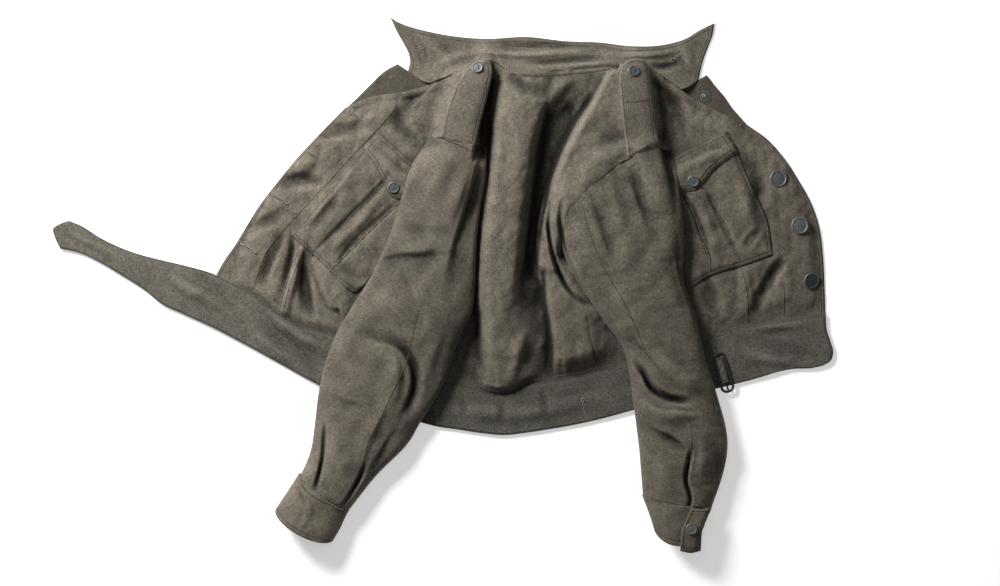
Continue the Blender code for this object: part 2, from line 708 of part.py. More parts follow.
def tube(name, table, stations, around, bed, thick, finish_material):
    """A hollow flattened tube of cloth that lies on the bed, open at both ends.

    Each station is a ring in an upright plane from its left to its right point. The lower half
    follows the bed, the sides are round, and the upper half rises to the crown.
    """
    rows = smooth_rows(table, stations)
    uppers = int(UPPER_SHARE * around)
    lowers = around - uppers
    turn = np.pi * np.concatenate([
        (np.arange(uppers) + 0.5) / uppers, 1 + (np.arange(lowers) + 0.5) / lowers
    ])
    share = (1 - np.cos(turn)) / 2
    swell = np.abs(np.sin(turn))
    upper = np.sin(turn) > 0
    left_x, left_y = to_world(rows[:, 0], rows[:, 1])
    right_x, right_y = to_world(rows[:, 2], rows[:, 3])
    span = np.stack([right_x - left_x, right_y - left_y], axis=1)
    width = np.hypot(span[:, 0], span[:, 1])
    ahead = np.stack([span[:, 1], -span[:, 0]], axis=1) / width[:, None]
    bow = np.where(upper[None], rows[:, 6:7], rows[:, 7:8]) * PLAN_STEP * swell[None]
    x = left_x[:, None] + span[:, :1] * share[None] + ahead[:, :1] * bow
    y = left_y[:, None] + span[:, 1:] * share[None] + ahead[:, 1:] * bow
    low = bed.top(x, y)
    low = np.where(low > 0, low + GAP, 0.0)
    side = rows[:, 5:6] * MM
    first, last = low[:, :1] + side, low[:, uppers - 1: uppers] + side
    level = first * (1 - share[None]) + last * share[None]
    crown = np.maximum(rows[:, 4:5] * MM, level + SLEEVE_INSIDE)
    top = level + (crown - level) * swell[None] ** CROWN_POWER
    plan_x, plan_y = to_plan(x, y)
    for creases in SLEEVE_FOLDS.values():
        top = top + fold_height(plan_x, plan_y, creases)
    top = np.maximum(top, low + 2 * thick + SLEEVE_INSIDE * swell[None])
    bottom = low + side * (1 - swell[None]) ** SIDE_POWER
    clear = TUBE_CLEAR + thick * upper[None]
    z = settle(x, y, np.where(upper[None], top, bottom), bed, True, clear)
    outer = np.stack([x, y, z], axis=-1)
    around_step = np.roll(outer, -1, axis=1) - np.roll(outer, 1, axis=1)
    along_step = np.gradient(outer, axis=0)
    upright = np.concatenate([ahead, np.zeros((stations, 1))], axis=1)[:, None]
    along_step[[0, -1]] = upright[[0, -1]]
    inward = np.cross(around_step, along_step)
    inner = outer + thick * inward / np.linalg.norm(inward, axis=-1)[..., None]
    count = stations * around
    faces = grid_faces(stations, around, 0, False, True)
    faces += grid_faces(stations, around, count, True, True)
    for a in range(around):
        b = (a + 1) % around
        faces.append((a, b, b + count, a + count))
        end_a, end_b = (stations - 1) * around + a, (stations - 1) * around + b
        faces.append((end_b, end_a, end_a + count, end_b + count))
    points = np.concatenate([outer.reshape(-1, 3), inner.reshape(-1, 3)])
    return finish(name, points, faces, finish_material)


def turned_piece(name, place, profile, sides, bed, finish_material):
    """A round piece turned about the cloth's normal. The profile runs from the foot to the top."""
    x, y = to_world(*place)
    wide = max(radius for radius, _ in profile)
    turns = np.arange(sides) * 2 * np.pi / sides
    tilt_x = bed.top(np.array([x - wide, x + wide]), np.array([y, y]))
    tilt_y = bed.top(np.array([x, x]), np.array([y - wide, y + wide]))
    normal = np.array([tilt_x[0] - tilt_x[1], tilt_y[0] - tilt_y[1], 2 * wide])
    normal /= np.linalg.norm(normal)
    side = np.cross([0.0, 1.0, 0.0], normal)
    side /= np.linalg.norm(side)
    other = np.cross(normal, side)
    rings = [
        radius * (np.cos(turns)[:, None] * side + np.sin(turns)[:, None] * other) + rise * normal
        for radius, rise in profile
    ]
    points = np.concatenate(rings + [[profile[-1][1] * normal]]) + [x, y, 0.0]
    under = np.concatenate([rings[0] * share for share in FOOT_SHARES] + rings[1:3]) + [x, y, 0.0]
    lift = bed.top(under[:, 0], under[:, 1]) - under[:, 2]
    points[:, 2] += lift.max() + GAP + CHORD
    faces = [tuple(range(sides))[::-1]]
    for r in range(len(profile) - 1):
        for a in range(sides):
            b = (a + 1) % sides
            faces.append((r * sides + a, r * sides + b, (r + 1) * sides + b, (r + 1) * sides + a))
    last = (len(profile) - 1) * sides
    for a in range(sides):
        faces.append((last + a, last + (a + 1) % sides, len(points) - 1))
    return finish(name, points, faces, finish_material)


def button_profile(radius):
    """Foot, rolled rim, a shallow dish and a low raised middle."""
    return [
        (0.55 * radius, 0.0),
        (0.94 * radius, 0.0012),
        (radius, 0.0024),
        (0.94 * radius, 0.0034),
        (0.80 * radius, 0.0036),
        (0.60 * radius, 0.0039),
    ]


def buckle_axes():
    """The middle of the bar, its direction and the direction across it."""
    x, y = to_world(*BUCKLE_MIDDLE)
    lean = np.array([BUCKLE_LEAN[0], -BUCKLE_LEAN[1], 0.0])
    lean /= np.linalg.norm(lean)
    across = np.array([-lean[1], lean[0], 0.0])
    return np.array([x, y, 0.0]), lean, across


def wire(path, radius, sides, closed):
    """Rings of points round a flat path: one ring in the plane of up and the path's normal."""
    ahead = np.roll(path, -1, axis=0) - np.roll(path, 1, axis=0)
    if not closed:
        ahead[0], ahead[-1] = path[1] - path[0], path[-1] - path[-2]
    ahead /= np.linalg.norm(ahead, axis=1)[:, None]
    up = np.array([0.0, 0.0, 1.0])
    side = np.cross(ahead, up)
    turns = np.arange(sides) * 2 * np.pi / sides
    ring = (
        np.cos(turns)[None, :, None] * side[:, None]
        + np.sin(turns)[None, :, None] * up[None, None]
    )
    return path[:, None] + radius * ring


def buckle(floor, finish_material):
    """An obround frame of round wire with a bar down its length, joined as one piece."""
    middle, lean, across = buckle_axes()
    middle[2] = floor + BAR_HEIGHT
    end_radius = BUCKLE_WIDTH / 2 - BUCKLE_WIRE
    half = BUCKLE_LENGTH / 2 - BUCKLE_WIDTH / 2
    turns = np.linspace(-np.pi / 2, np.pi / 2, 9)
    ends = [(half + end_radius * np.cos(t), end_radius * np.sin(t)) for t in turns]
    outline = np.array(ends + [(-a, -b) for a, b in ends])
    path = middle + outline[:, :1] * lean + outline[:, 1:] * across
    sides = 8
    rings = wire(path, BUCKLE_WIRE, sides, closed=True)
    faces = []
    for s in range(len(path)):
        for a in range(sides):
            n, b = (s + 1) % len(path), (a + 1) % sides
            faces.append((s * sides + a, n * sides + a, n * sides + b, s * sides + b))
    frame = finish("buckle", rings.reshape(-1, 3), faces, finish_material)
    reach = half + end_radius
    bar_path = np.array([middle - reach * lean, middle + reach * lean])
    bar_rings = wire(bar_path, BAR_RADIUS, sides, closed=False)
    bar_faces = [tuple(range(sides)), tuple(range(sides, 2 * sides))[::-1]]
    for a in range(sides):
        b = (a + 1) % sides
        bar_faces.append((a, sides + a, sides + b, b))
    bar = finish("buckle_bar_cutter", bar_rings.reshape(-1, 3), bar_faces, finish_material)
    bar.hide_render = True
    bar.display_type = "WIRE"
    join = frame.modifiers.new("bar", "BOOLEAN")
    join.operation = "UNION"
    join.object = bar
    return frame


def buckle_loop(floor, finish_material):
    """A tube of cloth round the bar, flat underneath and round on top."""
    middle, lean, across = buckle_axes()
    middle[2] = floor + BAR_HEIGHT
    low = -(BAR_HEIGHT - GAP)
    sides = 16
    turns = (np.arange(sides) + 0.5) * 2 * np.pi / sides
    hole = LOOP_HOLE * np.stack([np.cos(turns), np.sin(turns)], axis=1)
    skin_a = LOOP_HALF_WIDTH * np.sign(np.cos(turns)) * np.abs(np.cos(turns)) ** 0.8
    skin_z = np.where(np.sin(turns) < 0, low * np.abs(np.sin(turns)) ** 0.3,
                      -low * np.sin(turns))
    skin_z = np.maximum(skin_z, low)
    skin = np.stack([skin_a, skin_z], axis=1)
    starts = [-LOOP_LENGTH / 2 - 0.0035, LOOP_LENGTH / 2 - 0.0035]
    points = []
    for section in (skin, hole):
        for place in starts:
            points.append(middle + place * lean + section[:, :1] * across
                          + section[:, 1:] * np.array([0.0, 0.0, 1.0]))
    points = np.concatenate(points)
    faces = []
    for a in range(sides):
        b = (a + 1) % sides
        faces.append((a, b, sides + b, sides + a))
        faces.append((2 * sides + b, 2 * sides + a, 3 * sides + a, 3 * sides + b))
        faces.append((b, a, 2 * sides + a, 2 * sides + b))
        faces.append((sides + a, sides + b, 3 * sides + b, 3 * sides + a))
    return finish("buckle_loop", points, faces, finish_material)


def panel(name, edges, across, down, finish_material, lift=0.0):
    x, y = patch(edges, across, down)
    return sheet(name, x, y, body_height(x, y) + lift, WALL, finish_material)


def build():
    clear_scene()
    serge = material("serge", SERGE, 0.92, 0.0)
    serge_grey = material("serge_grey", SERGE_GREY, 0.92, 0.0)
    serge_dark = material("serge_dark", SERGE_DARK, 0.94, 0.0)
    pewter = material("pewter", PEWTER, 0.42, 0.85)
    bronze = material("bronze", BRONZE, 0.38, 0.90)

    back = panel("back", BACK_EDGES, 26, 32, serge)
    front_left = panel("front_left", FRONT_LEFT_EDGES, 18, 20, serge)
    front_right = panel("front_right", FRONT_RIGHT_EDGES, 18, 20, serge)
    x, y = patch(WAISTBAND_EDGES, 62, 3)
    waistband = sheet("waistband", x, y, np.zeros_like(x), BAND_WALL, serge_grey)

    x, y = patch(LAPEL_LEFT_EDGES, 7, 4)
    lapel_left = sheet("lapel_left", x, y, np.zeros_like(x), WALL, serge_dark)
    x, y = patch(LAPEL_RIGHT_EDGES, 7, 4)
    lapel_right = sheet("lapel_right", x, y, np.zeros_like(x), WALL, serge_dark)
    x, y = patch(COLLAR_EDGES, 25, 6)
    collar = sheet("collar", x, y, collar_height(x, y), WALL, serge)

    bed = Bed(back, front_left, front_right, waistband, collar, lapel_left, lapel_right)
    pocket_left = lay("pocket_left", POCKET_LEFT_EDGES, 10, 10, bed, WALL, serge)
    pocket_right = lay("pocket_right", POCKET_RIGHT_EDGES, 10, 10, bed, WALL, serge)
    bed.add(pocket_left, pocket_right)
    flap_left = lay("pocket_flap_left", FLAP_LEFT_EDGES, 9, 4, bed, WALL, serge)
    flap_right = lay("pocket_flap_right", FLAP_RIGHT_EDGES, 9, 4, bed, WALL, serge)
    bed.add(flap_left, flap_right)
    falls = (STRAP_CROWN, STRAP_CROWN)
    strap_left = bridge("shoulder_strap_left", STRAP_LEFT_EDGES, 4, 12, bed, falls, serge)
    strap_right = bridge("shoulder_strap_right", STRAP_RIGHT_EDGES, 4, 12, bed, falls, serge)
    bed.add(strap_left, strap_right)

    large = button_profile(FRONT_BUTTON_RADIUS)
    small = button_profile(SMALL_BUTTON_RADIUS)
    snap = [(SNAP_RADIUS, 0.0), (SNAP_RADIUS, 0.0012), (0.6 * SNAP_RADIUS, 0.0022)]
    for name, place in FRONT_BUTTONS.items():
        turned_piece(name, place, large, 14, bed, pewter)
    turned_piece("snap_lapel_right", SNAP_PLACE, snap, 12, bed, pewter)
    small_buttons = [
        turned_piece(name, place, small, 12, bed, pewter) for name, place in SMALL_BUTTONS.items()
    ]
    bed.add(*small_buttons)

    sleeve_left = tube("sleeve_left", SLEEVE_LEFT, 26, 22, bed, WALL, serge)
    sleeve_right = tube("sleeve_right", SLEEVE_RIGHT, 26, 22, bed, WALL, serge)
    cuff_left = tube("cuff_left", CUFF_LEFT, 5, 20, Bed(), BAND_WALL, serge)
    cuff_right = tube("cuff_right", CUFF_RIGHT, 5, 20, Bed(), BAND_WALL, serge)
    cuff_bed = Bed(cuff_right, sleeve_right)
    falls = (0.0, TAB_DROP)
    cuff_bed.add(bridge("cuff_tab_right", CUFF_TAB_EDGES, 4, 6, cuff_bed, falls, serge))
    turned_piece("button_cuff_right", CUFF_BUTTON, small, 12, cuff_bed, pewter)

    buckle(BAND_WALL, bronze)
    buckle_loop(BAND_WALL, serge_grey)


build()
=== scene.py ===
# %% [markdown]
# # A battledress jacket, laid open on a table
#
# The jacket lies on its inside with the fronts spread to both sides. We look straight down on wool
# serge: a dense twill whose surface is brushed until its threads almost disappear. What the eye
# reads is not the weave but the way that light falls on folds, so most of this lesson is about
# making cloth surfaces as height functions over a flat plan, and then sewing things onto them.

# %% The frame
import json
import math

import bpy
import numpy as np
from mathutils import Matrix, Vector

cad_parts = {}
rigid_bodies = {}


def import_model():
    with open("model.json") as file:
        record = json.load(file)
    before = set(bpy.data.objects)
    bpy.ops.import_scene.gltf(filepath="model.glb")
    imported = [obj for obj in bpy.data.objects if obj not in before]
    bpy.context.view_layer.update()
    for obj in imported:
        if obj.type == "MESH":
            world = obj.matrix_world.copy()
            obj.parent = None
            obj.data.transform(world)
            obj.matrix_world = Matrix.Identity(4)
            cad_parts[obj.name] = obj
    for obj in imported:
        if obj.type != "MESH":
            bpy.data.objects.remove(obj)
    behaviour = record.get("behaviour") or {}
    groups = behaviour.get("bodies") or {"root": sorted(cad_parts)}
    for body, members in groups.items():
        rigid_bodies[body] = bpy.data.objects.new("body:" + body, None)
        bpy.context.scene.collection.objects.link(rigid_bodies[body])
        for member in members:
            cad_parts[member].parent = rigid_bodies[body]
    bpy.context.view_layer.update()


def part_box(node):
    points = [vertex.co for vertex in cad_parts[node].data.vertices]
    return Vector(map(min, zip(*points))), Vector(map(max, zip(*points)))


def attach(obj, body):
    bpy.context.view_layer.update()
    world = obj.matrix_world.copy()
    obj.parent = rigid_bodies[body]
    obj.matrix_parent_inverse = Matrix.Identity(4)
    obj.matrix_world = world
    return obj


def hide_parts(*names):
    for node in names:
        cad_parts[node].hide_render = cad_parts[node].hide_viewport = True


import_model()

# %% [markdown]
# ## A plan on the table
#
# A tailor works from a flat pattern, and so do we. Every outline and every fold is written as
# points of a plan: x to the right and y towards the hem, in steps of 1.45 mm. One function turns
# them into metres. Heights in the tables are millimetres, as thick cloth is talked about.

# %% The plan
STEP = 0.00145
MIDDLE = (443.95, 284.51)
FRAME_SIZE = (1000, 586)
MM = 0.001


def to_world(x, y):
    """Plan steps to metres: shift to the middle, scale, and turn y round."""
    return (np.asarray(x) - MIDDLE[0]) * STEP, (MIDDLE[1] - np.asarray(y)) * STEP


def to_plan(x, y):
    """Metres back to plan steps."""
    return np.asarray(x) / STEP + MIDDLE[0], MIDDLE[1] - np.asarray(y) / STEP


print("plan:", FRAME_SIZE, "steps of", STEP / MM, "mm")

# %% [markdown]
# ## Curves and panels
#
# A seam or a cut edge is a chalk line through a few marks, so a smooth curve through a few points
# draws it. A panel has four such edges. Ruling the cloth between them gives even rows that bend
# with the outline, which a flat shape filled with triangles wouldn't have.

# %% Curves and panels
def ease(t):
    """3t^2 - 2t^3 between 0 and 1, flat outside: a soft step."""
    t = np.clip(t, 0.0, 1.0)
    return t * t * (3.0 - 2.0 * t)


def unit(vectors):
    """Each vector divided by its length."""
    return vectors / np.linalg.norm(vectors, axis=-1, keepdims=True)


def curve(rows, count, spread=None):
    """A smooth curve through rows, read at count places: cubic pieces, neighbours give the slopes.

    The places are even in length, or at the shares of the whole length that spread lists.
    """
    rows = np.array(rows, float)
    steps = np.maximum(np.linalg.norm(np.diff(rows[:, :2], axis=0), axis=1), 1e-9)
    knots = np.concatenate([[0.0], np.cumsum(steps)])
    slopes = np.gradient(rows, knots, axis=0) if len(rows) > 2 else np.diff(rows, axis=0) / steps
    slopes = np.broadcast_to(slopes, rows.shape)
    shares = np.linspace(0.0, 1.0, count) if spread is None else np.asarray(spread)
    places = shares * knots[-1]
    which = np.clip(np.searchsorted(knots, places, side="right") - 1, 0, len(steps) - 1)
    span = steps[which][:, None]
    t = ((places - knots[which]) / steps[which])[:, None]
    return (
        (2 * t**3 - 3 * t**2 + 1) * rows[which]
        + (t**3 - 2 * t**2 + t) * span * slopes[which]
        + (3 * t**2 - 2 * t**3) * rows[which + 1]
        + (t**3 - t**2) * span * slopes[which + 1]
    )


def patch(edges, across, down, rim=0.0):
    """Plan points of a four-sided panel: both pairs of edges ruled and added, less the corners.

    rim > 0 crowds the rows and columns near the outline, where cloth rolls over its edge.
    """
    def spread(count):
        t = np.linspace(0.0, 1.0, count + 1)
        return t - rim * np.sin(2 * np.pi * t) / (2 * np.pi)

    u, v = spread(across), spread(down)
    top, bottom = curve(edges["top"], 0, u), curve(edges["bottom"], 0, u)
    left, right = curve(edges["left"], 0, v), curve(edges["right"], 0, v)
    u, v = u[None, :, None], v[:, None, None]
    ruled = (1 - v) * top[None] + v * bottom[None] + (1 - u) * left[:, None] + u * right[:, None]
    corners = (
        (1 - u) * (1 - v) * top[0]
        + u * (1 - v) * top[-1]
        + (1 - u) * v * bottom[0]
        + u * v * bottom[-1]
    )
    points = ruled - corners
    return points[..., 0], points[..., 1]


print("ease at a quarter:", ease(0.25))

# %% [markdown]
# ## Folds
#
# A fold is a spine drawn on the plan. Each spine point says how high the fold stands there and how
# far it reaches to its left and right, so one side can fall steeply while the other fades out. Its
# section is a squared cosine. Ridges are joined by a power mean, which keeps the higher one and
# rounds the valley between them; creases are simply added, and may be negative.

# %% Fold functions
def fold(x, y, rows, flat=1.5):
    """Squared-cosine section over the nearest spine point: height * cos(pi/2 * share^flat)^2.

    A row is x, y, height in mm, and the reach to the left and right, or one reach for both.
    """
    height = np.zeros(np.shape(x))
    rows = np.array([(*row, row[-1])[:5] for row in rows], float)
    reach = rows[:, 3:5].max()
    low, high = rows[:, :2].min(axis=0) - reach, rows[:, :2].max(axis=0) + reach
    near = (x > low[0]) & (x < high[0]) & (y > low[1]) & (y < high[1])
    if not near.any():
        return height
    px, py = x[near], y[near]
    spine = curve(rows, 5 * len(rows))
    best = np.zeros(px.shape)
    for start, end in zip(spine[:-1], spine[1:]):
        along = end[:2] - start[:2]
        t = ((px - start[0]) * along[0] + (py - start[1]) * along[1]) / (along @ along)
        here = start + np.clip(t, 0.0, 1.0)[:, None] * (end - start)
        off_x, off_y = px - here[:, 0], py - here[:, 1]
        right = along[0] * off_y - along[1] * off_x < 0
        share = np.clip(np.hypot(off_x, off_y) / np.where(right, here[:, 4], here[:, 3]), 0, 1)
        found = here[:, 2] * MM * np.cos(0.5 * np.pi * share**flat) ** 2
        best = np.where(np.abs(found) > np.abs(best), found, best)
    height[near] = best
    return height


def creases(x, y, table):
    """The sum of many small folds, ridges up and troughs down, each fading at its ends."""
    total = np.zeros(np.shape(x))
    for first, *between, last in table:
        waist_shade = [(*first[:2], 0.0, *first[3:]), *between, (*last[:2], 0.0, *last[3:])]
        total += fold(x, y, waist_shade, 1.0)
    return total


def undulate(x, y, seed, size, height):
    """A handful of long sine waves in random directions: the slow unevenness of worn cloth."""
    local = np.random.default_rng(seed)
    total = np.zeros(np.shape(x))
    for _ in range(9):
        turn, phase = local.uniform(0, 2 * np.pi, 2)
        length = size * local.uniform(0.6, 1.9)
        total += np.sin((x * np.cos(turn) + y * np.sin(turn)) * 2 * np.pi / length + phase)
    return total / 3.0 * height * MM


def crumple(x, y, seed, size, height):
    """Soft facets with sharp troughs: the sum of gate * (|sin(pi * distance / size)| - 0.64).

    0.64 is the mean of |sin|, so the cloth gets no thicker by it.
    """
    mean = 0.64
    local = np.random.default_rng(seed)
    total = np.zeros(np.shape(x))
    for _ in range(6):
        turn, phase, drift = local.uniform(0, 2 * np.pi, 3)
        ahead, aside = x * np.cos(turn) + y * np.sin(turn), y * np.cos(turn) - x * np.sin(turn)
        bent = ahead + 0.35 * size * np.sin(aside * 1.7 / size + drift)
        gate = ease(0.5 + 0.9 * np.sin(ahead * 0.9 / size + aside * 1.3 / size + drift * 3))
        wave = np.sin(np.pi * bent / (size * local.uniform(0.7, 1.5)) + phase)
        total += gate * (np.abs(wave) - mean)
    return total * height * MM


HALF_WAY = fold(np.array([5.0]), np.array([0.0]), [(0, -20, 10, 10), (0, 20, 10, 10)], 1.0)
print("a fold of 10 mm, half a reach from its spine:", round(HALF_WAY[0] / MM, 2), "mm")

# %% [markdown]
# ## The body's folds
#
# Two ridges run down from the shoulders, where straps and sleeve heads hold the cloth up, and two
# more bound the deep valley in the middle of the back. Near the waist seam every fold dies out,
# because the band holds the cloth flat. Drawing the spines keeps each fold where the real
# one lies, which a cloth simulation wouldn't do.
#
# Each ridge has a flatness, and then the rows of its spine.

# %% Body ridges
BODY_RIDGES = {
    "shoulder left": (1.6, [
        (486, 60, 20, 22, 12), (481, 78, 32, 40, 12), (474, 100, 35, 46, 15),
        (467, 122, 35, 46, 18), (460, 146, 34, 40, 26)]),
    "shoulder right": (1.6, [
        (633, 58, 22, 22, 18), (636, 80, 31, 30, 24), (638, 108, 33, 40, 29),
        (641, 130, 34, 44, 28), (643, 150, 32, 44, 25)]),
    "head right": (1.7, [
        (652, 154, 20, 24, 9), (640, 156, 34, 28, 9), (626, 160, 39, 32, 9),
        (607, 172, 41, 40, 9), (590, 190, 39, 42, 9), (575, 210, 33, 36, 9),
        (562, 230, 25, 24, 8), (556, 250, 18, 18, 8)]),
    "back left of the valley": (2.6, [
        (526, 72, 18, 34, 36), (521, 98, 26, 34, 31), (514, 140, 31, 28, 29),
        (512, 161, 32, 27, 28), (507, 203, 33, 27, 28), (502, 250, 32, 27),
        (499, 276, 29, 26, 28), (498, 296, 22, 26, 30), (498, 312, 12, 26, 30)]),
    "plane above the waist": (1.15, [
        (498, 262, 8, 24, 40), (496, 288, 19, 22, 60), (494, 312, 24, 20, 66),
        (494, 344, 25, 20, 66), (496, 372, 18, 24, 62), (498, 400, 8, 28, 60)]),
    "neck edge": (1.5, [
        (498, 66, 17, 24), (520, 73, 17, 30, 24), (556, 73, 18, 48, 26),
        (596, 70, 22, 52, 26), (616, 68, 24, 34, 24)]),
    "blade right": (2.2, [
        (614, 78, 29, 13, 34), (600, 108, 33, 16, 54), (582, 140, 34, 16, 62),
        (567, 172, 32, 15, 44), (556, 206, 27, 12, 22), (550, 240, 23, 12, 16),
        (549, 264, 19, 12, 14)]),
    "lower right": (2.2, [
        (552, 262, 14, 10, 26), (555, 300, 20, 11, 46), (561, 340, 20, 11, 58),
        (563, 364, 14, 12, 58), (565, 386, 6, 12, 58)]),
    "left roll": (1.5, [
        (356, 103, 3, 8, 14), (372, 98, 5, 9, 16), (404, 93, 7, 10, 20), (427, 87, 8, 10, 24),
        (446, 80, 11, 12, 24), (464, 71, 16, 14, 22)]),
    "right roll": (1.5, [
        (652, 71, 18, 14, 20), (672, 85, 12, 12, 20), (695, 100, 9, 10, 18),
        (723, 115, 7, 10, 16), (740, 122.5, 4, 9, 12)]),
    "left front": (3.2, [
        (392, 128, 8, 40, 120), (372, 148, 8, 44, 130), (334, 188, 8, 46, 130),
        (300, 232, 8, 44, 130), (278, 262, 7, 42, 130), (262, 296, 6, 40, 130)]),
    "right front": (3.2, [
        (700, 142, 8, 110, 40), (728, 160, 8, 110, 40), (754, 192, 8, 110, 42),
        (772, 230, 8, 110, 42), (780, 262, 7, 110, 42), (782, 300, 6, 110, 42)]),
    "left front above the pocket": (1.5, [(392, 104, 8, 22, 18), (366, 132, 8, 18, 16)]),
    "left front edge": (1.4, [
        (352, 118, 3, 14, 20), (318, 150, 7, 16, 20), (290, 180, 6, 14, 18),
        (262, 226, 7, 14, 20), (246, 262, 5, 14, 18)]),
    "left pocket swell": (1.4, [
        (352, 176, 9, 24, 26), (322, 214, 11, 26, 30), (306, 240, 10, 18, 26)]),
    "left dart": (1.3, [(302, 250, 10, 9, 6), (293, 282, 13, 9, 7), (285, 312, 9, 10, 8)]),
    "left lower fold": (2.0, [
        (318, 262, 11, 10, 30), (328, 284, 14, 13, 30), (336, 302, 13, 12, 26)]),
    "right front shoulder": (1.5, [
        (668, 96, 8, 20), (694, 118, 9, 14, 20), (728, 130, 7, 12, 14)]),
    "right front edge": (1.5, [
        (770, 152, 5, 20, 12), (786, 186, 5, 20, 16), (802, 232, 6, 20, 14),
        (806, 282, 5, 20, 14)]),
    "right pocket swell": (1.4, [
        (724, 180, 9, 26, 20), (738, 214, 11, 26, 22), (748, 242, 9, 24, 20)]),
    "right dart": (1.4, [(744, 272, 9, 14, 10), (748, 296, 10, 16, 10), (748, 316, 7, 16, 10)]),
    "right front lower": (1.4, [(790, 262, 7, 12, 14), (782, 292, 7, 14, 16)]),
}
print("body:", len(BODY_RIDGES), "ridges")

# %% [markdown]
# ## The body's creases
#
# Between the big folds, wool serge creases where it was bent for long: in the hollow of the back,
# over the waist and beside the pockets. These are smaller forms with the same rows, added on top.

# %% Body creases
BODY_CREASES = [
    # the back: the hollow under the neck seam, and the ridge that runs out of it
    [(506, 74, -4, 10, 9), (516, 82, -7, 11, 9), (530, 91, -7, 10, 9), (548, 97, -3, 8)],
    [(572, 80, 1, 8, 12), (556, 90, 4, 9, 12), (547, 104, 6, 9, 12), (541, 124, 5, 10, 12),
     (538, 146, 3, 10)],
    [(590, 80, -2, 14, 12), (572, 98, -4, 14, 12), (560, 118, -4, 10, 8)],
    # the black valley, deepened
    [(578, 98, -6, 9, 7), (562, 124, -12, 9, 7), (548, 154, -16, 8, 7), (540, 184, -18, 8, 6),
     (535, 213, -18, 7, 6), (531, 244, -14, 7), (530, 268, -6, 8), (534, 292, -2, 12)],
    [(548, 282, -2, 8), (536, 300, -5, 18, 12), (528, 324, -3, 18, 12)],
    # soft light and dark bands across the left ridge
    [(488, 232, -2, 14), (520, 224, -3, 14)],
    [(490, 262, -2, 16), (512, 254, -2, 16)],
    # rolls at the right of the valley
    [(600, 92, 2, 6, 12), (580, 122, 3, 6, 12), (566, 148, 3, 6, 12), (554, 176, 3, 5, 9),
     (543, 206, 4, 4, 6), (538, 244, 5, 4, 6), (541, 276, 5, 4, 7), (549, 312, 4, 5, 8)],
    [(552, 196, -3, 3, 4), (548, 218, -9, 3, 4), (550, 241, -12, 3, 4), (559, 272, -12, 4),
     (575, 297, -9, 4), (594, 309, -5, 4, 5)],
    [(563, 196, -3, 4, 5), (560, 214, -6, 4, 5), (564, 246, -8, 3, 5), (574, 270, -6, 4, 5)],
    [(584, 150, -2, 12), (574, 178, -3, 10), (570, 204, -3, 8)],
    # the waist: puff, gathers and the black lines between them
    [(548, 318, -4, 3), (550, 350, -5, 3), (547, 370, -5, 3), (550, 379, -3, 3)],
    [(526, 330, 2, 8, 6), (521, 346, 4.5, 12, 6), (516, 366, 4.5, 12, 6), (511, 386, 2, 10, 8)],
    [(532, 340, -1, 8, 9), (528, 356, -1.8, 8, 10), (524, 374, -1.6, 8, 10)],
    [(546, 330, 1, 8, 6), (541, 346, 2.5, 9, 6), (540, 364, 2.5, 9, 6)],
    [(482, 340, -1, 8, 10), (484, 366, -3, 9, 11), (492, 382, -3, 10)],
    [(585, 316, -1.2, 1.6), (592, 345, -1.2, 1.6), (598, 367, -1.2, 1.6)],
    # left front: hollows between the buttonholes
    [(300, 134, -2, 10), (325, 132, -6.8, 11, 10), (352, 129, -6, 11, 10),
     (382, 124, -4, 10)],
    [(276, 186, -4, 11, 10), (300, 180, -7.2, 12, 10), (326, 180, -6, 11, 10)],
    [(318, 158, 4, 10, 11), (296, 168, 4, 10, 11), (286, 172, 2, 10)],
    [(248, 232, -4, 10), (268, 222, -6, 10), (286, 214, -4, 10)],
    [(344, 184, -6, 9, 10), (328, 208, -8, 10, 11), (312, 230, -4, 9, 10)],
    [(284, 226, -4, 8), (279, 244, -5, 9, 6), (268, 270, -5.5, 10, 6), (262, 290, -3, 9)],
    [(303, 252, -3, 6, 8), (304, 272, -8, 8), (307, 294, -11, 11, 8), (313, 320, -8, 14, 8)],
    [(292, 232, -2, 5, 4), (293, 250, -6, 6, 3), (288, 276, -6, 8, 3), (282, 300, -3, 9, 4)],
    [(340, 318, -7, 11), (352, 306, -7, 9)],
    [(420, 100, -4, 13), (400, 122, -6, 13), (420, 150, -6, 13, 11)],
    # right front
    [(745, 150, -4, 10), (758, 178, -6.8, 11), (764, 204, -4, 10)],
    [(784, 258, -2, 8, 9), (774, 272, -8, 9), (764, 290, -7, 9), (752, 316, -6, 8, 9)],
    [(664, 84, -8, 9), (676, 104, -7, 10), (690, 128, -6, 10)],
    [(706, 262, -6, 11), (712, 300, -6, 13), (722, 322, -4, 11)],
    [(800, 150, -3.2, 10), (812, 184, -2.8, 9)],
    [(806, 250, -4, 10, 9), (790, 246, -4, 10, 9)],
]
print("body:", len(BODY_CREASES), "creases")

# %% [markdown]
# ## The body's surface
#
# The waist seam gathers the body into the band, so it is the line at which all folds end. The
# surface is the ridges, then the creases, then the slow unevenness that worn cloth has.

# %% The body's surface
WAIST = [
    (69, 220.6), (81, 225.5), (101, 238), (122, 248), (142, 255), (166, 261), (187, 266),
    (214.5, 274.2), (234, 284.2), (254, 295.2), (282, 318.2), (329.5, 334.2), (384, 356.2),
    (419, 374.6), (446, 382.6), (473, 387.6), (500, 395.2), (512, 393.6), (527, 385.6),
    (551, 381.1), (573, 377.6), (599, 371.6), (625, 366.6), (655, 356.6), (703, 341.6),
    (739, 328.6), (768.5, 322.6), (798, 318.6), (826.5, 314)]
WAIST_CURVE = curve(WAIST, 400)


def waist_y(x):
    """The waist seam's plan y over plan x."""
    return np.interp(x, WAIST_CURVE[:, 0], WAIST_CURVE[:, 1])


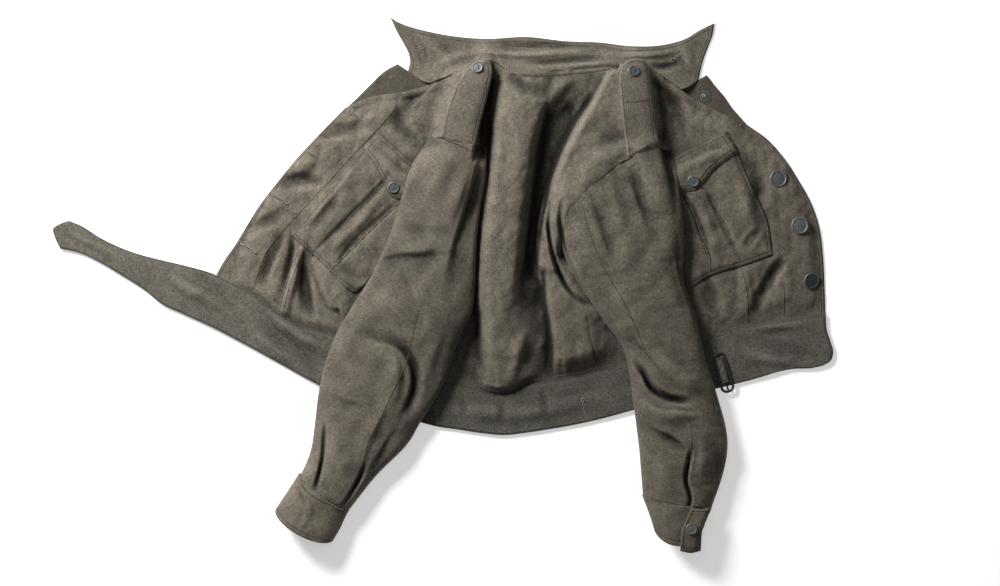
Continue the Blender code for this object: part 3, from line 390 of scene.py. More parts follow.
def past(x, y, start, end):
    """How far a plan point lies past a line, on its lower side."""
    run = np.subtract(end, start) / np.hypot(*np.subtract(end, start))
    return (y - start[1]) * run[0] - (x - start[0]) * run[1]


UNDER_SLEEVES = ("shoulder left", "shoulder right", "head right", "blade right")


def ridges(x, y):
    """All body ridges joined: (sum of height^3)^(1/3), less 0.6 mm, faded at the waist.

    Those of the shoulders also fade below the sleeve heads, where the sleeves take over.
    """
    left = ease(past(x, y, (431, 139), (487, 151)) / 13.0) * ease((483 - x) / 8.0)
    right = ease(past(x, y, (626, 160), (672, 150)) / 10.0) * ease((x - 636) / 8.0)
    total = np.zeros(np.shape(x))
    for name, (flat, rows) in BODY_RIDGES.items():
        lift = fold(x, y, rows, flat)
        if name in UNDER_SLEEVES:
            lift = lift * (1.0 - left) * (1.0 - right)
        total += lift**3
    height = np.maximum(np.cbrt(total) - 0.6 * MM, 0.0)
    run_out = 12.0 + 14.0 * ease((x - 548) / 12.0)
    return height * ease((waist_y(x) - y + 2.0) / run_out)


def body_surface(x, y, fine=True):
    """Top of the body's cloth: ridges, creases and a slow unevenness, never under the table."""
    above = waist_y(x) - y
    height = ridges(x, y)
    if fine:
        small = (creases(x, y, BODY_CREASES) + undulate(x, y, 3, 46, 0.7)
                 + crumple(x, y, 4, 30, 1.0) + crumple(x, y, 5, 15, 0.45))
        height = height + small * ease(above / 14)
    low = 3.2 * MM - 0.8 * MM * ease(-above / 3.0)
    soft = 1.5 * MM
    return low + 0.5 * (height + np.sqrt(height**2 + soft**2) - soft)


print("waist: y from", round(WAIST_CURVE[:, 1].min()), "to", round(WAIST_CURVE[:, 1].max()))

# %% [markdown]
# ## From a grid to a mesh
#
# Each panel is one grid of points with the height function laid on it. `shade` is stored with the
# points and says how far each stands proud of its surroundings. The material reads it to paint the
# wool darker in the hollows, as painted shade, and paler where it stands proud, as wear and painted
# highlight.

# %% Grids and meshes
def mean_over(values, cells, axis, wrap):
    """Moving average along one axis, from differences of a running sum."""
    margins = [(0, 0), (0, 0)]
    margins[axis] = (cells, cells)
    padded = np.pad(values, margins, mode="wrap" if wrap else "edge")
    total = np.insert(np.cumsum(padded, axis=axis), 0, 0.0, axis=axis)
    count = 2 * cells + 1
    upper = np.take(total, np.arange(count, total.shape[axis]), axis)
    lower = np.take(total, np.arange(total.shape[axis] - count), axis)
    return (upper - lower) / count


def swollen(values, cells):
    """Each value raised to the highest one within a number of cells, both ways."""
    for axis in (0, 1):
        best = values
        for step in range(1, cells + 1):
            for way in (step, -step):
                moved = np.roll(values, way, axis)
                edge = [slice(None), slice(None)]
                edge[axis] = slice(0, step) if way > 0 else slice(-step, None)
                moved[tuple(edge)] = values[tuple(edge)]
                best = np.maximum(best, moved)
        values = best
    return values


def soften(values, cells, wrap=False):
    """Two passes of a square moving average."""
    for _ in range(2):
        values = mean_over(mean_over(values, cells, 0, False), cells, 1, wrap)
    return values


def proudness(z, wrap=False):
    """Height above the softened surface, near and far, each scaled and bent into -1..1."""
    # Read by the wool as painted shade in the hollows, and as wear and painted highlight where
    # proud.
    near = np.tanh((z - soften(z, 2, wrap)) / (1.2 * MM))
    far = np.tanh((z - soften(z, 12, wrap)) / (8.0 * MM))
    return 0.35 * near + 0.75 * far


def grid_quads(rows, columns, closed=False):
    """Quads of a grid, facing up when rows run towards the hem and columns to the right."""
    a = np.arange(rows - 1)[:, None] * columns
    c = np.arange(columns if closed else columns - 1)[None]
    left, right = a + c, a + (c + 1) % columns
    return np.stack([left, left + columns, right + columns, right], axis=-1).reshape(-1, 4)


def linked(made):
    """Puts an object into the scene."""
    bpy.context.scene.collection.objects.link(made)
    return made


def mesh_object(name, points, quads, finish, uv=None, **values):
    """A smooth mesh object at the origin with an optional UV map and float attributes."""
    mesh = bpy.data.meshes.new(name)
    mesh.from_pydata(np.asarray(points).reshape(-1, 3).tolist(), [], np.asarray(quads).tolist())
    mesh.shade_smooth()
    if uv is not None:
        layer = mesh.uv_layers.new(name="grain")
        layer.uv.foreach_set("vector", uv.reshape(-1, 2)[np.asarray(quads).ravel()].ravel())
    for key, value in values.items():
        store = mesh.attributes.new(key, "FLOAT", "POINT")
        store.data.foreach_set("value", np.ascontiguousarray(value, float).ravel())
    mesh.materials.append(finish)
    return linked(bpy.data.objects.new(name, mesh))


print("a grid of 3 by 4 points has", len(grid_quads(3, 4)), "quads")

# %% [markdown]
# ## A sheet of cloth
#
# Cloth has a wall, so a Solidify modifier gives every sheet its thickness on the side away from us,
# and its cut edge rolls down a little. The UV map is in metres and follows the grain, because
# fibres and twill have a real size. Each sheet also prints how large it was cut.

# %% Sheets
SURFACES = {}


def rim_distance(x, y, sides="lrtb"):
    """Distance of each grid point from the named sides of the outline, and how far along it is."""
    across = np.hypot(np.diff(x, axis=1), np.diff(y, axis=1))
    down = np.hypot(np.diff(x, axis=0), np.diff(y, axis=0))
    left = np.pad(np.cumsum(across, axis=1), ((0, 0), (1, 0)))
    top = np.pad(np.cumsum(down, axis=0), ((1, 0), (0, 0)))
    far = np.full(x.shape, 1.0)
    beside = np.min([left if "l" in sides else far,
                     left[:, -1:] - left if "r" in sides else far], axis=0)
    above = np.min([top if "t" in sides else far, top[-1:] - top if "b" in sides else far], axis=0)
    return np.minimum(beside, above), np.where(beside < above, top, left)


def wall(piece, thickness):
    """Gives the sheet its thickness on the side away from its faces."""
    solid = piece.modifiers.new("wall", "SOLIDIFY")
    solid.thickness = thickness
    solid.offset = -1.0
    solid.use_even_offset = False
    return piece


def mean_length(points, axis):
    """Mean length of the grid's lines along an axis."""
    return np.linalg.norm(np.diff(points, axis=axis), axis=-1).sum(axis=axis).mean()


def cut_size(across, down, surface):
    """The flat size and its area: as long as the columns, and wide enough for the surface.

    The surface is a grid, and its area is the sum of the cross products of its cells' sides.
    """
    side, edge = np.diff(surface, axis=1)[:-1], np.diff(surface, axis=0)[:, :-1]
    area = np.linalg.norm(np.cross(side, edge), axis=-1).sum()
    cut = (round(float(max(across, area / down)), 3), round(float(down), 3))
    return cut, round(float(min(area, cut[0] * cut[1])), 5)


def belong(piece, node=None):
    """Puts the piece into the garment's body, and hides the node that it stands for."""
    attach(piece, "garment")
    if node:
        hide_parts(node)


def sew(piece, node, cut, area):
    """Puts the cloth into the garment's body, hides its node and prints its cut and area."""
    belong(piece, node)
    print(f"{piece.name}: {len(piece.data.vertices)} points, cut {cut[0]} x {cut[1]} m, {area} m2")


def rim_shade(away):
    """1 at the rim, falling as a bell curve 1.6 mm wide: where an edge is painted darker as shade,
    and paler as wear where its weight is negative.
    """
    return np.exp(-((away / (1.6 * MM)) ** 2))


def cloth(name, px, py, z, finish, node, thickness=1.7 * MM, roll=1.1,
          grain=0.0, rim_shade_and_wear=0.5, sides="lrtb", stitched="lrtb"):
    """A sheet on plan points px, py with top height z. Its outline rolls down and is painted darker
    there as shade, and paler as wear where the rim weight is negative.
    """
    x, y = to_world(px, py)
    far, _ = rim_distance(x, y, sides)
    rim, along = rim_distance(x, y, stitched)
    z = np.maximum(z - roll * MM * np.exp(-((far / (1.5 * MM)) ** 2)), thickness)
    SURFACES[name] = (x, y, z)
    turn = np.radians(grain)
    uv = np.stack([x * np.cos(turn) - y * np.sin(turn), x * np.sin(turn) + y * np.cos(turn)], -1)
    # Painted shade in the hollows and at the rolled rim; paler where proud, as wear and painted
    # highlight, and at the rim as wear where its weight is negative.
    shade = proudness(z) - rim_shade_and_wear * rim_shade(far)
    points = np.stack([x, y, z], axis=-1)
    quads = grid_quads(*x.shape)
    made = mesh_object(name + "_cloth", points, quads, finish, uv,
                       shade=shade, rim=rim, along=along)
    cut, area = cut_size(mean_length(points, 1), mean_length(points, 0), points)
    sew(wall(made, thickness), node, cut, area)


SQUARE = np.array([[(0, 0, 0), (1, 0, 0)], [(0, 1, 0), (1, 1, 0)]], float)
print("a flat square metre is cut as", *cut_size(1.0, 1.0, SQUARE))

# %% [markdown]
# ## A small language for materials
#
# Shader maths is easier to read as sums and products than as a picture of nodes. A Signal wraps an
# output socket, and each operator on it adds one Math node. Everything else is made by one method.

# %% Signals and finishes
class Signal:
    """A number that a node tree works out, with arithmetic."""

    def __init__(self, maker, socket):
        self.maker, self.socket = maker, socket

    def join(self, operation, *values):
        """One Math node on the values."""
        return self.maker.node("ShaderNodeMath", {"operation": operation}, dict(enumerate(values)))

    def __add__(self, other):
        return self.join("ADD", self, other)

    def __sub__(self, other):
        return self.join("SUBTRACT", self, other)

    def __rsub__(self, other):
        return self.join("SUBTRACT", other, self)

    def __mul__(self, other):
        return self.join("MULTIPLY", self, other)

    __radd__ = __add__

    def within(self, low, high):
        """The number, but not below low or above high."""
        return self.join("MINIMUM", self.join("MAXIMUM", self, low), high)

    def sine(self):
        return self.join("SINE", self)

    def size(self):
        return self.join("ABSOLUTE", self)


class Finish:
    """A material under construction."""

    def __init__(self, name):
        self.material = bpy.data.materials.new(name)
        self.material.use_nodes = True
        self.tree = self.material.node_tree
        self.shader = self.tree.nodes["Principled BSDF"]
        self.place = self.node("ShaderNodeTexCoord", {}, {}, "Object")

    def node(self, kind, settings, inputs, output=0):
        """Adds one node: settings first, then values or links for its sockets."""
        made = self.tree.nodes.new(kind)
        for key, value in settings.items():
            setattr(made, key, value)
        for key, value in inputs.items():
            self.put(made.inputs[key], value)
        return Signal(self, made.outputs[output])

    def put(self, socket, value):
        """Links a signal to a socket, or sets a plain value."""
        if isinstance(value, Signal):
            self.tree.links.new(value.socket, socket)
        else:
            socket.default_value = value

    def noise(self, scale, detail=3.0, rough=0.55, stretch=None, place=None):
        """Noise between 0 and 1 on object coordinates, stretched where asked."""
        place = place or self.place
        if stretch:
            place = self.node("ShaderNodeMapping", {}, {"Vector": place, "Scale": stretch})
        return self.node("ShaderNodeTexNoise", {}, {
            "Vector": place, "Scale": scale, "Detail": detail, "Roughness": rough}, "Fac")

    def blend(self, factor, first, second):
        """A colour between two colours."""
        inputs = {0: factor, 6: first, 7: second}
        return self.node("ShaderNodeMix", {"data_type": "RGBA"}, inputs, 2)

    def scaled(self, colour, factor):
        """A colour times a number."""
        return self.node("ShaderNodeVectorMath", {"operation": "SCALE"}, {0: colour, 3: factor})

    def attribute(self, name):
        """A number that was stored with the mesh's points."""
        return self.node("ShaderNodeAttribute", {"attribute_name": name}, {}, "Fac")

    def finish(self, colour, rough, height=None, depth=0.4 * MM, strength=0.5, **fixed):
        """Joins colour, roughness and bump to the shader, and sets what is the same all over."""
        self.put(self.shader.inputs["Base Color"], colour)
        self.put(self.shader.inputs["Roughness"], rough)
        if height is not None:
            bump = self.node("ShaderNodeBump", {}, {
                "Height": height, "Distance": depth, "Strength": strength})
            self.put(self.shader.inputs["Normal"], bump)
        for key, value in fixed.items():
            self.shader.inputs[key.replace("_", " ")].default_value = value
        return self.material


def tint(red, green, blue):
    """A colour with full cover, as sockets want it."""
    return (red, green, blue, 1.0)


def two_tone(name, dark, pale, rough, tones, bumps, depth, strength):
    """A plain finish: one noise blends two colours, a second one raises the surface."""
    make = Finish(name)
    colour = make.blend(make.noise(tones), tint(*dark), tint(*pale))
    return make.finish(colour, rough, make.noise(bumps), depth, strength)


print("signals have:", *(word for word in vars(Signal) if not word.startswith("_")))

# %% [markdown]
# ## Wool serge
#
# Brushed wool is mottled at every size. Single fibres of a lighter or darker colour give a grain of
# about a millimetre, felting gives flecks of half a centimetre, and wear gives soft clouds as wide
# as a hand. A faint diagonal twill shows through. The colour is painted darker towards the back of
# the waist, as painted shade, and the stored `shade` paints the hollows darker as painted shade and
# proud cloth paler as wear and painted highlight. The bump is shallow: the folds do the work.

# %% Wool materials
# The middle of the painted shade round the back of the waist.
DARKEST = (0.168, -0.124, 0.0)
TWILL, STITCH = 1.35 * MM, 3.4 * MM


def wool(name, dark, middle, pale, hollow=1.0, proud=0.5, grain=1.0, lines=()):
    """Mottled wool: middle between dark and pale by noise, painted darker in hollows as shade,
    paler where proud as wear and painted highlight.

    lines are distances from the outline where a row of stitches pulls the cloth into a groove,
    which is painted darker as shade.
    """
    make = Finish(name)
    flat = make.node("ShaderNodeUVMap", {"uv_map": "grain"}, {})
    fibre = make.noise(620.0, 3.0, 0.7)
    fleck = make.noise(260.0, 4.0, 0.7)
    cloud = make.noise(48.0, 4.0, 0.6)
    wide = make.noise(12.0, 2.0, 0.5)
    warp = make.noise(300.0, 2.0, 0.6, (2.2, 0.5, 1.0), flat)
    weft = make.noise(300.0, 2.0, 0.6, (0.5, 2.2, 1.0), flat)
    split = make.node("ShaderNodeSeparateXYZ", {}, {0: flat})
    other = Signal(make, split.socket.node.outputs[1])
    twill = ((split + other) * (2 * math.pi / TWILL)).sine()
    shade = make.attribute("shade")
    # Wear and painted highlight where the cloth stands proud; painted shade in the hollows.
    worn = shade.within(0.0, 1.0)
    deep = (0.0 - shade).within(0.0, 1.0)
    mottle = (
        (fibre - 0.5) * (1.5 * grain) + (fleck - 0.5) * (1.1 * grain) + (cloud - 0.5) * 0.7
        + (warp - 0.5) * (1.1 * grain) + (weft - 0.5) * (1.1 * grain) + (wide - 0.5) * 0.6
    )
    colour = make.blend((0.5 + mottle * 0.75).within(0.0, 1.0), tint(*dark), tint(*pale))
    colour = make.blend(0.25, colour, tint(*middle))
    # Painted shade: the colour darkens towards the back of the waist.
    away = make.node("ShaderNodeVectorMath", {"operation": "DISTANCE"},
                     {0: make.place, 1: DARKEST}, "Value")
    waist_shade = (away * 0.75 + 0.76).within(0.7, 1.12)
    # Mottle, wear with painted highlight, and painted shade in the hollows, as one factor.
    tone_wear_and_shade = 1.0 + mottle * 0.25 + worn * proud - deep * hollow
    colour = make.scaled(colour, (tone_wear_and_shade * waist_shade).within(0.1, 2.0))
    height = fibre * 0.6 + fleck * 0.8 + warp * 0.4 + weft * 0.4 + twill * 0.10
    if lines:
        rim = make.attribute("rim") + (cloud - 0.5) * (1.2 * MM)
        dash = (make.attribute("along") * (2 * math.pi / STITCH)).sine()
        for line in lines:
            off = (rim - line).size()
            groove = (1.0 - off * (1.0 / (1.3 * MM))).within(0.0, 1.0)
            thread = (1.0 - off * (1.0 / (0.55 * MM))).within(0.0, 1.0) * dash.within(0.0, 1.0)
            # The groove is painted darker: painted shade.
            colour = make.scaled(colour, 1.0 - groove * 0.56)
            colour = make.blend(thread * 0.75, colour, tint(*(1.35 * value for value in pale)))
            height = height - groove * 1.4 + thread * 0.8
    rough = (0.90 + (fleck - 0.5) * 0.1).within(0.8, 1.0)
    return make.finish(colour, rough, height, 0.9 * MM, 0.55, Sheen_Weight=0.10,
                       Specular_IOR_Level=0.18)


SERGE = (0.040, 0.033, 0.024), (0.088, 0.076, 0.058), (0.190, 0.167, 0.132)
serge = wool("serge wool", *SERGE)
serge_edge = wool("serge wool with one row of stitches", *SERGE, lines=(5.0 * MM,))
serge_double = wool("serge wool with two rows of stitches", *SERGE, lines=(1.9 * MM, 7.2 * MM))
serge_band = wool("serge wool of the band", (0.034, 0.031, 0.024), (0.076, 0.070, 0.056),
                  (0.160, 0.148, 0.122), grain=1.15, lines=(2.6 * MM,))
# The lapels' wool: the serge painted darker, as painted shade.
serge_lapel_shade = wool("serge wool of the lapels", (0.026, 0.022, 0.016), (0.052, 0.045, 0.034),
                  (0.10, 0.088, 0.068))
print("wool finishes:", len(bpy.data.materials))

# %% [markdown]
# ## Back and fronts
#
# The three body panels share one height function, so their seams meet. The outlines are the cut
# edges and seams; where sleeves and straps cover them they are finished plainly. Only the two open
# edges of the fronts roll over, because all other sides are sewn.

# %% Body panels
BACK = dict(
    top=[(486.6, 60.7), (497, 64.5), (506, 71.2), (542, 73), (572, 71), (600, 69), (613, 66),
         (622, 65), (633.4, 59.6)],
    left=[(486.6, 60.7), (470.6, 95.2), (458.6, 140.2), (473, 166), (475, 192), (464, 226),
          (443, 258), (427, 310), (418, 352), (419, 374)],
    right=[(633.4, 59.6), (639.4, 95.1), (648.4, 147), (616, 165), (593, 189), (574, 219),
           (600, 262), (618, 300), (640, 335), (655, 356)],
    bottom=[(419, 374.2), (446, 382.2), (473, 387.2), (500, 394.8), (512, 393.2), (527, 385.2),
            (551, 380.7), (573, 377.2), (599, 371.2), (625, 366.2), (655, 356.2)])
FRONT_LEFT = dict(
    top=[(345, 108), (370, 97.6), (404, 92), (427, 86), (446, 79), (462, 71.5), (486, 60.5)],
    left=[(345, 108), (322, 131.5), (300, 155), (280, 179), (260, 205), (246, 227), (235, 245),
          (224, 260), (215.5, 273.6)],
    right=[(486, 60.5), (470, 95), (458, 140), (437, 165), (428, 196), (430, 230), (441, 257),
           (425, 310), (416, 352), (417.5, 373.6)],
    bottom=[(215.5, 273.8), (234, 283.8), (254, 294.8), (282, 317.8), (329.5, 333.8),
            (384, 355.8), (417.5, 373.8)])
FRONT_RIGHT = dict(
    top=[(634, 59.5), (648, 68), (669, 83), (695, 99.6), (723, 114.4), (749, 126)],
    left=[(634, 59.5), (640, 95), (649, 147), (664, 175), (668, 208), (652, 240), (603, 261),
          (620.5, 299), (642, 334), (656.5, 355.4)],
    right=[(749, 126), (767, 139), (783, 157), (799, 181), (811, 203), (819, 226), (822.8, 254),
           (824.6, 288), (825.4, 313.4)],
    bottom=[(656.5, 355.6), (703, 341.2), (739, 328.2), (768.5, 322.2), (798, 318.2),
            (825.4, 313.4)])

for name, edges, across, down, grain, sides in (
    ("back", BACK, 150, 210, 4.0, ""),
    ("front_left", FRONT_LEFT, 155, 155, 32.0, "l"),
    ("front_right", FRONT_RIGHT, 155, 155, -18.0, "r"),
):
    px, py = patch(edges, across, down, 0.35)
    py = py + 3.0 * np.linspace(0, 1, len(py))[:, None] ** 8
    cloth(name, px, py, body_surface(px, py),
          serge_edge if sides else serge, name, grain=grain,
          rim_shade_and_wear=0.6 if sides else 0.0, roll=1.1 if sides else 0.0, sides=sides, stitched=sides)

# %% [markdown]
# ## What lies where
#
# Cloth laid on cloth has to know how high the lower cloth stands. A height map of the table does
# that: every finished sheet is pressed into it, and the next one reads it, softened, because a
# second layer bridges the small creases of the first.

# %% The height map
CELL = 0.5
TOP = np.zeros((1200, 2000))  # rows and columns: 600 by 1000 plan steps


def lay_down(name):
    """Keeps the highest surface over each map cell, from samples inside every grid cell."""
    x, y, z = SURFACES[name]
    px, py = to_plan(x, y)
    places = np.linspace(0.0, 0.8, 5)
    for u in places:
        for v in places:
            share = ((1 - u) * (1 - v), u * (1 - v), (1 - u) * v, u * v)
            at = [
                share[0] * g[:-1, :-1] + share[1] * g[:-1, 1:]
                + share[2] * g[1:, :-1] + share[3] * g[1:, 1:]
                for g in (px, py, z)
            ]
            rows = np.clip(np.round(at[1] / CELL).astype(int), 0, TOP.shape[0] - 1)
            columns = np.clip(np.round(at[0] / CELL).astype(int), 0, TOP.shape[1] - 1)
            np.maximum.at(TOP, (rows, columns), at[2])


def read_map(table, px, py):
    """Bilinear reading of a map at plan points."""
    r = np.clip(np.asarray(py) / CELL, 0, table.shape[0] - 1.001)
    c = np.clip(np.asarray(px) / CELL, 0, table.shape[1] - 1.001)
    i, j = r.astype(int), c.astype(int)
    u, v = r - i, c - j
    return (
        (1 - u) * (1 - v) * table[i, j] + (1 - u) * v * table[i, j + 1]
        + u * (1 - v) * table[i + 1, j] + u * v * table[i + 1, j + 1]
    )


def lying(px, py, thickness, stiff=5):
    """Top of a sheet laid on the map: it bridges the softened map and never dips into it."""
    raw = read_map(TOP, px, py)
    bridged = read_map(soften(TOP, stiff), px, py)
    need, soft = raw + 0.5 * MM, 0.8 * MM
    gap = bridged - need
    return need + 0.5 * (gap + np.sqrt(gap**2 + soft**2)) + thickness


for name in ("back", "front_left", "front_right"):
    lay_down(name)
print("map:", TOP.shape, "highest", round(float(TOP.max()) * 1000, 1), "mm")

# %% [markdown]
# ## Lapels
#
# The lapels are the fronts' own corners, turned to the outside, so their wrong side shows. Their
# wool is a darker copy of the serge: painted shade. They lie nearly flat, so a slow unevenness over
# the floor is all the shape they need.

# %% Lapels
LAPEL_LEFT = dict(
    top=[(345, 109.5), (358, 97), (370, 85), (385, 71), (397.6, 64)],
    left=[(345, 109.5), (352, 107.4)],
    right=[(397.6, 64), (407.3, 70.5), (424.6, 80.6), (440, 83.3)],
    bottom=[(352, 107.4), (372, 102.4), (404, 98), (427, 92), (440, 83.3)])
LAPEL_RIGHT = dict(
    top=[(706.5, 75), (716, 87), (724.6, 97), (732, 108), (740, 117), (748, 126)],
    left=[(706.5, 75), (699, 79.5), (687, 87.1), (672, 91.6)],
    right=[(748, 126), (741, 124.8)],
    bottom=[(672, 91.6), (695, 106), (709, 114), (723, 120.4), (741, 124.8)])
for node, edges, across, down, seed, grain in (
    ("lapel_left", LAPEL_LEFT, 56, 24, 31, 40),
    ("lapel_right", LAPEL_RIGHT, 50, 22, 32, -40),
):
    px, py = patch(edges, across, down, 0.3)
    z = 3.4 * MM + np.maximum(undulate(px, py, seed, 24, 0.5), -0.8 * MM)
    cloth(node, px, py, z, serge_lapel_shade, node,
          grain=grain, rim_shade_and_wear=-0.5, stitched="tb")
    lay_down(node)

# %% [markdown]
# ## Collar
#
# The collar lies spread with its underside up. It climbs from the floor to the neck seam, and its
# two layers have shifted against each other, which leaves long soft wrinkles along it. At the seam
# it dips under the body's cloth, where the real one is sewn in between two layers.

# %% Collar
COLLAR = dict(
    top=[(390, 17), (397, 21.5), (405, 25), (422, 30), (450, 35.6), (485, 38.8), (526, 36.8),
         (565, 41), (600, 42.5), (634, 46.4), (664, 44.7), (687, 38), (699, 30.5), (714.5, 23)],
    left=[(390, 17), (398, 34), (403, 42.6), (408.6, 54), (410, 61), (408, 71)],
    right=[(714.5, 23), (712.6, 35), (707.7, 48), (703, 61), (698.5, 80)],
    bottom=[(408, 71), (425, 82), (448, 83), (478, 76), (505, 78.4), (540, 79.8), (575, 78),
            (606, 76), (640, 76), (660, 85), (674, 91), (687, 87.6), (698.5, 80)])
COLLAR_WRINKLES = [
    [(470, 50, 1.6, 5, 6), (500, 54, 3.5, 5, 6), (532, 55, 4.8, 5, 6), (565, 53, 3.8, 5, 6),
     (596, 52, 1.6, 5, 6)],
    [(500, 45, -1.6, 4, 5), (530, 46, -3.2, 4, 5), (560, 46, -2.6, 4, 5), (590, 48, -1.6, 4, 5)],
    [(520, 63, -3.2, 5), (548, 63, -5.1, 5), (580, 60, -4.2, 5), (612, 58, -3.2, 5)],
    [(560, 67, 2.6, 4), (590, 65, 3.8, 4), (620, 63, 2.6, 4)],
    [(600, 54, 1.6, 5), (630, 56, 3.2, 5), (655, 55, 3.8, 5, 6), (680, 50, 1.6, 5)],
    [(640, 66, -3.2, 6), (662, 68, -4.8, 6), (684, 62, -3.2, 5)],
    [(425, 40, 2.2, 9, 8), (440, 52, 3.2, 9, 8), (452, 66, 3.2, 8)],
    [(436, 74, -3.2, 8), (462, 62, -4.8, 9, 8), (482, 58, -3.2, 8)],
    [(410, 34, -1.6, 6), (422, 50, -3.2, 7), (424, 66, -3.2, 7)],
    [(678, 42, 1.6, 8), (688, 56, 3.2, 8), (690, 70, 1.6, 8)],
]
NECK = np.array(FRONT_LEFT["top"] + BACK["top"][1:-1] + FRONT_RIGHT["top"], float)


def collar_surface(x, y):
    """The collar climbs from the table to the neck seam, with soft wrinkles along it."""
    neck_y = np.interp(x, NECK[:, 0], NECK[:, 1])
    at_neck = body_surface(x, neck_y + 2.0, False)
    stand = np.clip(at_neck - 4.0 * MM, 0.0, 16 * MM)
    height = 2.2 * MM + stand * ease(1.0 - (neck_y + 2.0 - y) / 34.0)
    wrinkled = height + creases(x, y, COLLAR_WRINKLES) + undulate(x, y, 8, 30, 0.5) + 1.2 * MM
    cover = np.min([body_surface(x + i, y + j) for i in (-2, 0, 2) for j in (0, 3)], axis=0)
    under = np.maximum(cover - 3.2 * MM, 2.0 * MM)
    return np.where(y > neck_y - 1.5, np.minimum(wrinkled, under), wrinkled)


px, py = patch(COLLAR, 240, 58, 0.35)
cloth("collar", px, py, collar_surface(px, py), serge_double, "collar",
      grain=2, rim_shade_and_wear=-0.5, sides="tlr", stitched="tlr")
lay_down("collar")

# %% [markdown]
# ## Waistband
#
# The waistband is two layers of felted cloth with a stiffener, and its left end runs out into the
# pointed belt strap. It is one long panel, so its folds can pass from band to strap unbroken.

# %% Waistband
BAND = dict(
    top=WAIST[:-1] + [(825.5, 313.4)],
    left=[(69, 220.6), (60, 224), (53.3, 228.8), (55, 237), (60.4, 248.6)],
    right=[(825.5, 313.4), (827, 331), (830.5, 342), (833, 351), (831, 360), (823, 365.5)],
    bottom=[(60.4, 248.6), (81, 253.5), (101, 263), (122, 275.5), (146, 291), (162, 304),
            (183, 314), (213.5, 328), (244, 344), (275, 361), (318.6, 385), (384, 412),
            (420, 422), (435, 426), (458, 429.5), (481, 433), (504, 435), (527, 432.6),
            (550, 429), (573, 425), (604, 418), (633, 410), (680, 397), (735, 384), (761, 377),
            (777, 372), (792, 369), (812, 368), (823, 365.5)])
BAND_FOLDS = [
    [(66, 230, 2.6, 7), (84, 240, 3.2, 7), (104, 250, 2.4, 7), (128, 262, 3.2, 7)],
    [(148, 268, -1.6, 7), (153, 281, -4.8, 6), (158, 296, -1.6, 6)],
    [(166, 272, 3.2, 8), (186, 288, 4.8, 9), (206, 298, 3.8, 9), (230, 312, 3.2, 9)],
    [(196, 276, -2.4, 6), (216, 286, -3.2, 7), (240, 300, -3.8, 7),
     (262, 316, -4.8, 7)],
    [(256, 318, -4.8, 8, 7), (276, 334, -8, 8, 7), (298, 352, -8, 8, 7), (318, 374, -6.4, 8)],
    [(262, 300, 4.8, 9), (284, 324, 7.2, 9), (306, 340, 6.4, 9), (330, 352, 3.2, 9)],
    [(250, 330, 3.2, 8), (272, 348, 4.8, 8), (296, 366, 4.8, 8)],
    [(430, 404, 2.6, 12), (470, 412, 3.8, 12), (520, 414, 3.8, 12),
     (570, 404, 3.2, 12), (620, 392, 2.4, 12)],
    [(460, 392, -2.6, 6, 7), (464, 408, -3.2, 7), (468, 424, -2.2, 7)],
    [(500, 398, -2.2, 6), (502, 414, -3.2, 7), (503, 430, -1.9, 6)],
    [(540, 390, -1.9, 6), (545, 406, -3.2, 7), (548, 424, -2.2, 6)],
    [(735, 338, -3.2, 8, 7), (764, 344, -4.8, 8, 7), (798, 350, -4.8, 8, 7),
     (820, 358, -3.2, 7)],
    [(740, 352, 3.2, 8), (770, 360, 4.8, 8), (800, 362, 3.2, 8)],
    [(744, 330, 3.2, 7), (780, 326, 4.2, 7), (814, 324, 3.2, 7)],
]


def band_surface(x, y):
    """Two stiff layers on the table, with shallow buckles."""
    swell = creases(x, y, BAND_FOLDS) + undulate(x, y, 21, 34, 0.6)
    lift = 1.0 * MM + 0.5 * (swell + np.sqrt(swell**2 + (2 * MM) ** 2))
    return 4.2 * MM + lift


px, py = patch(BAND, 520, 38, 0.3)
cloth("waistband", px, py, band_surface(px, py), serge_band, "waistband",
      thickness=2.6 * MM, grain=14, rim_shade_and_wear=0.3)
lay_down("waistband")

# %% [markdown]
# ## Pockets and flaps
#
# A patch pocket is a square of cloth with a box pleat down its middle, stitched on along three
# sides. Its pointed flap is two layers, double stitched, and buttons through the pleat.

# %% Pockets and flaps
POCKET_LEFT = dict(
    top=[(368, 142), (400, 170), (432, 199)],
    left=[(368, 142), (330, 188), (290.6, 235)],
    right=[(432, 199), (398, 246), (366, 286)],
    bottom=[(290.6, 235), (311, 253), (330, 270), (348, 289), (354, 292.5), (366, 286)])
POCKET_RIGHT = dict(
    top=[(654, 176), (694, 160), (733, 143)],
    left=[(654, 176), (668, 230), (687, 290)],
    right=[(733, 143), (751, 185), (766.5, 220.5), (772, 255)],
    bottom=[(687, 290), (711, 275.5), (741, 266), (772, 255)])
FLAP_LEFT = dict(
    top=[(378.5, 131), (410, 159.5), (441, 188)],
    left=[(378.5, 131), (361, 149)],
    right=[(441, 188), (425, 207)],
    bottom=[(361, 149), (374, 165), (382.5, 181), (388, 193), (399, 199.5), (409, 199),
            (417, 202), (425, 207)])
FLAP_RIGHT = dict(
    top=[(650, 167), (675.6, 155), (725, 130.5)],
    left=[(650, 167), (660, 190)],
    right=[(725, 130.5), (738, 152)],
    bottom=[(660, 190), (672, 189), (684, 191), (697, 189.5), (703, 183), (713, 171),
            (725, 161), (738, 152)])
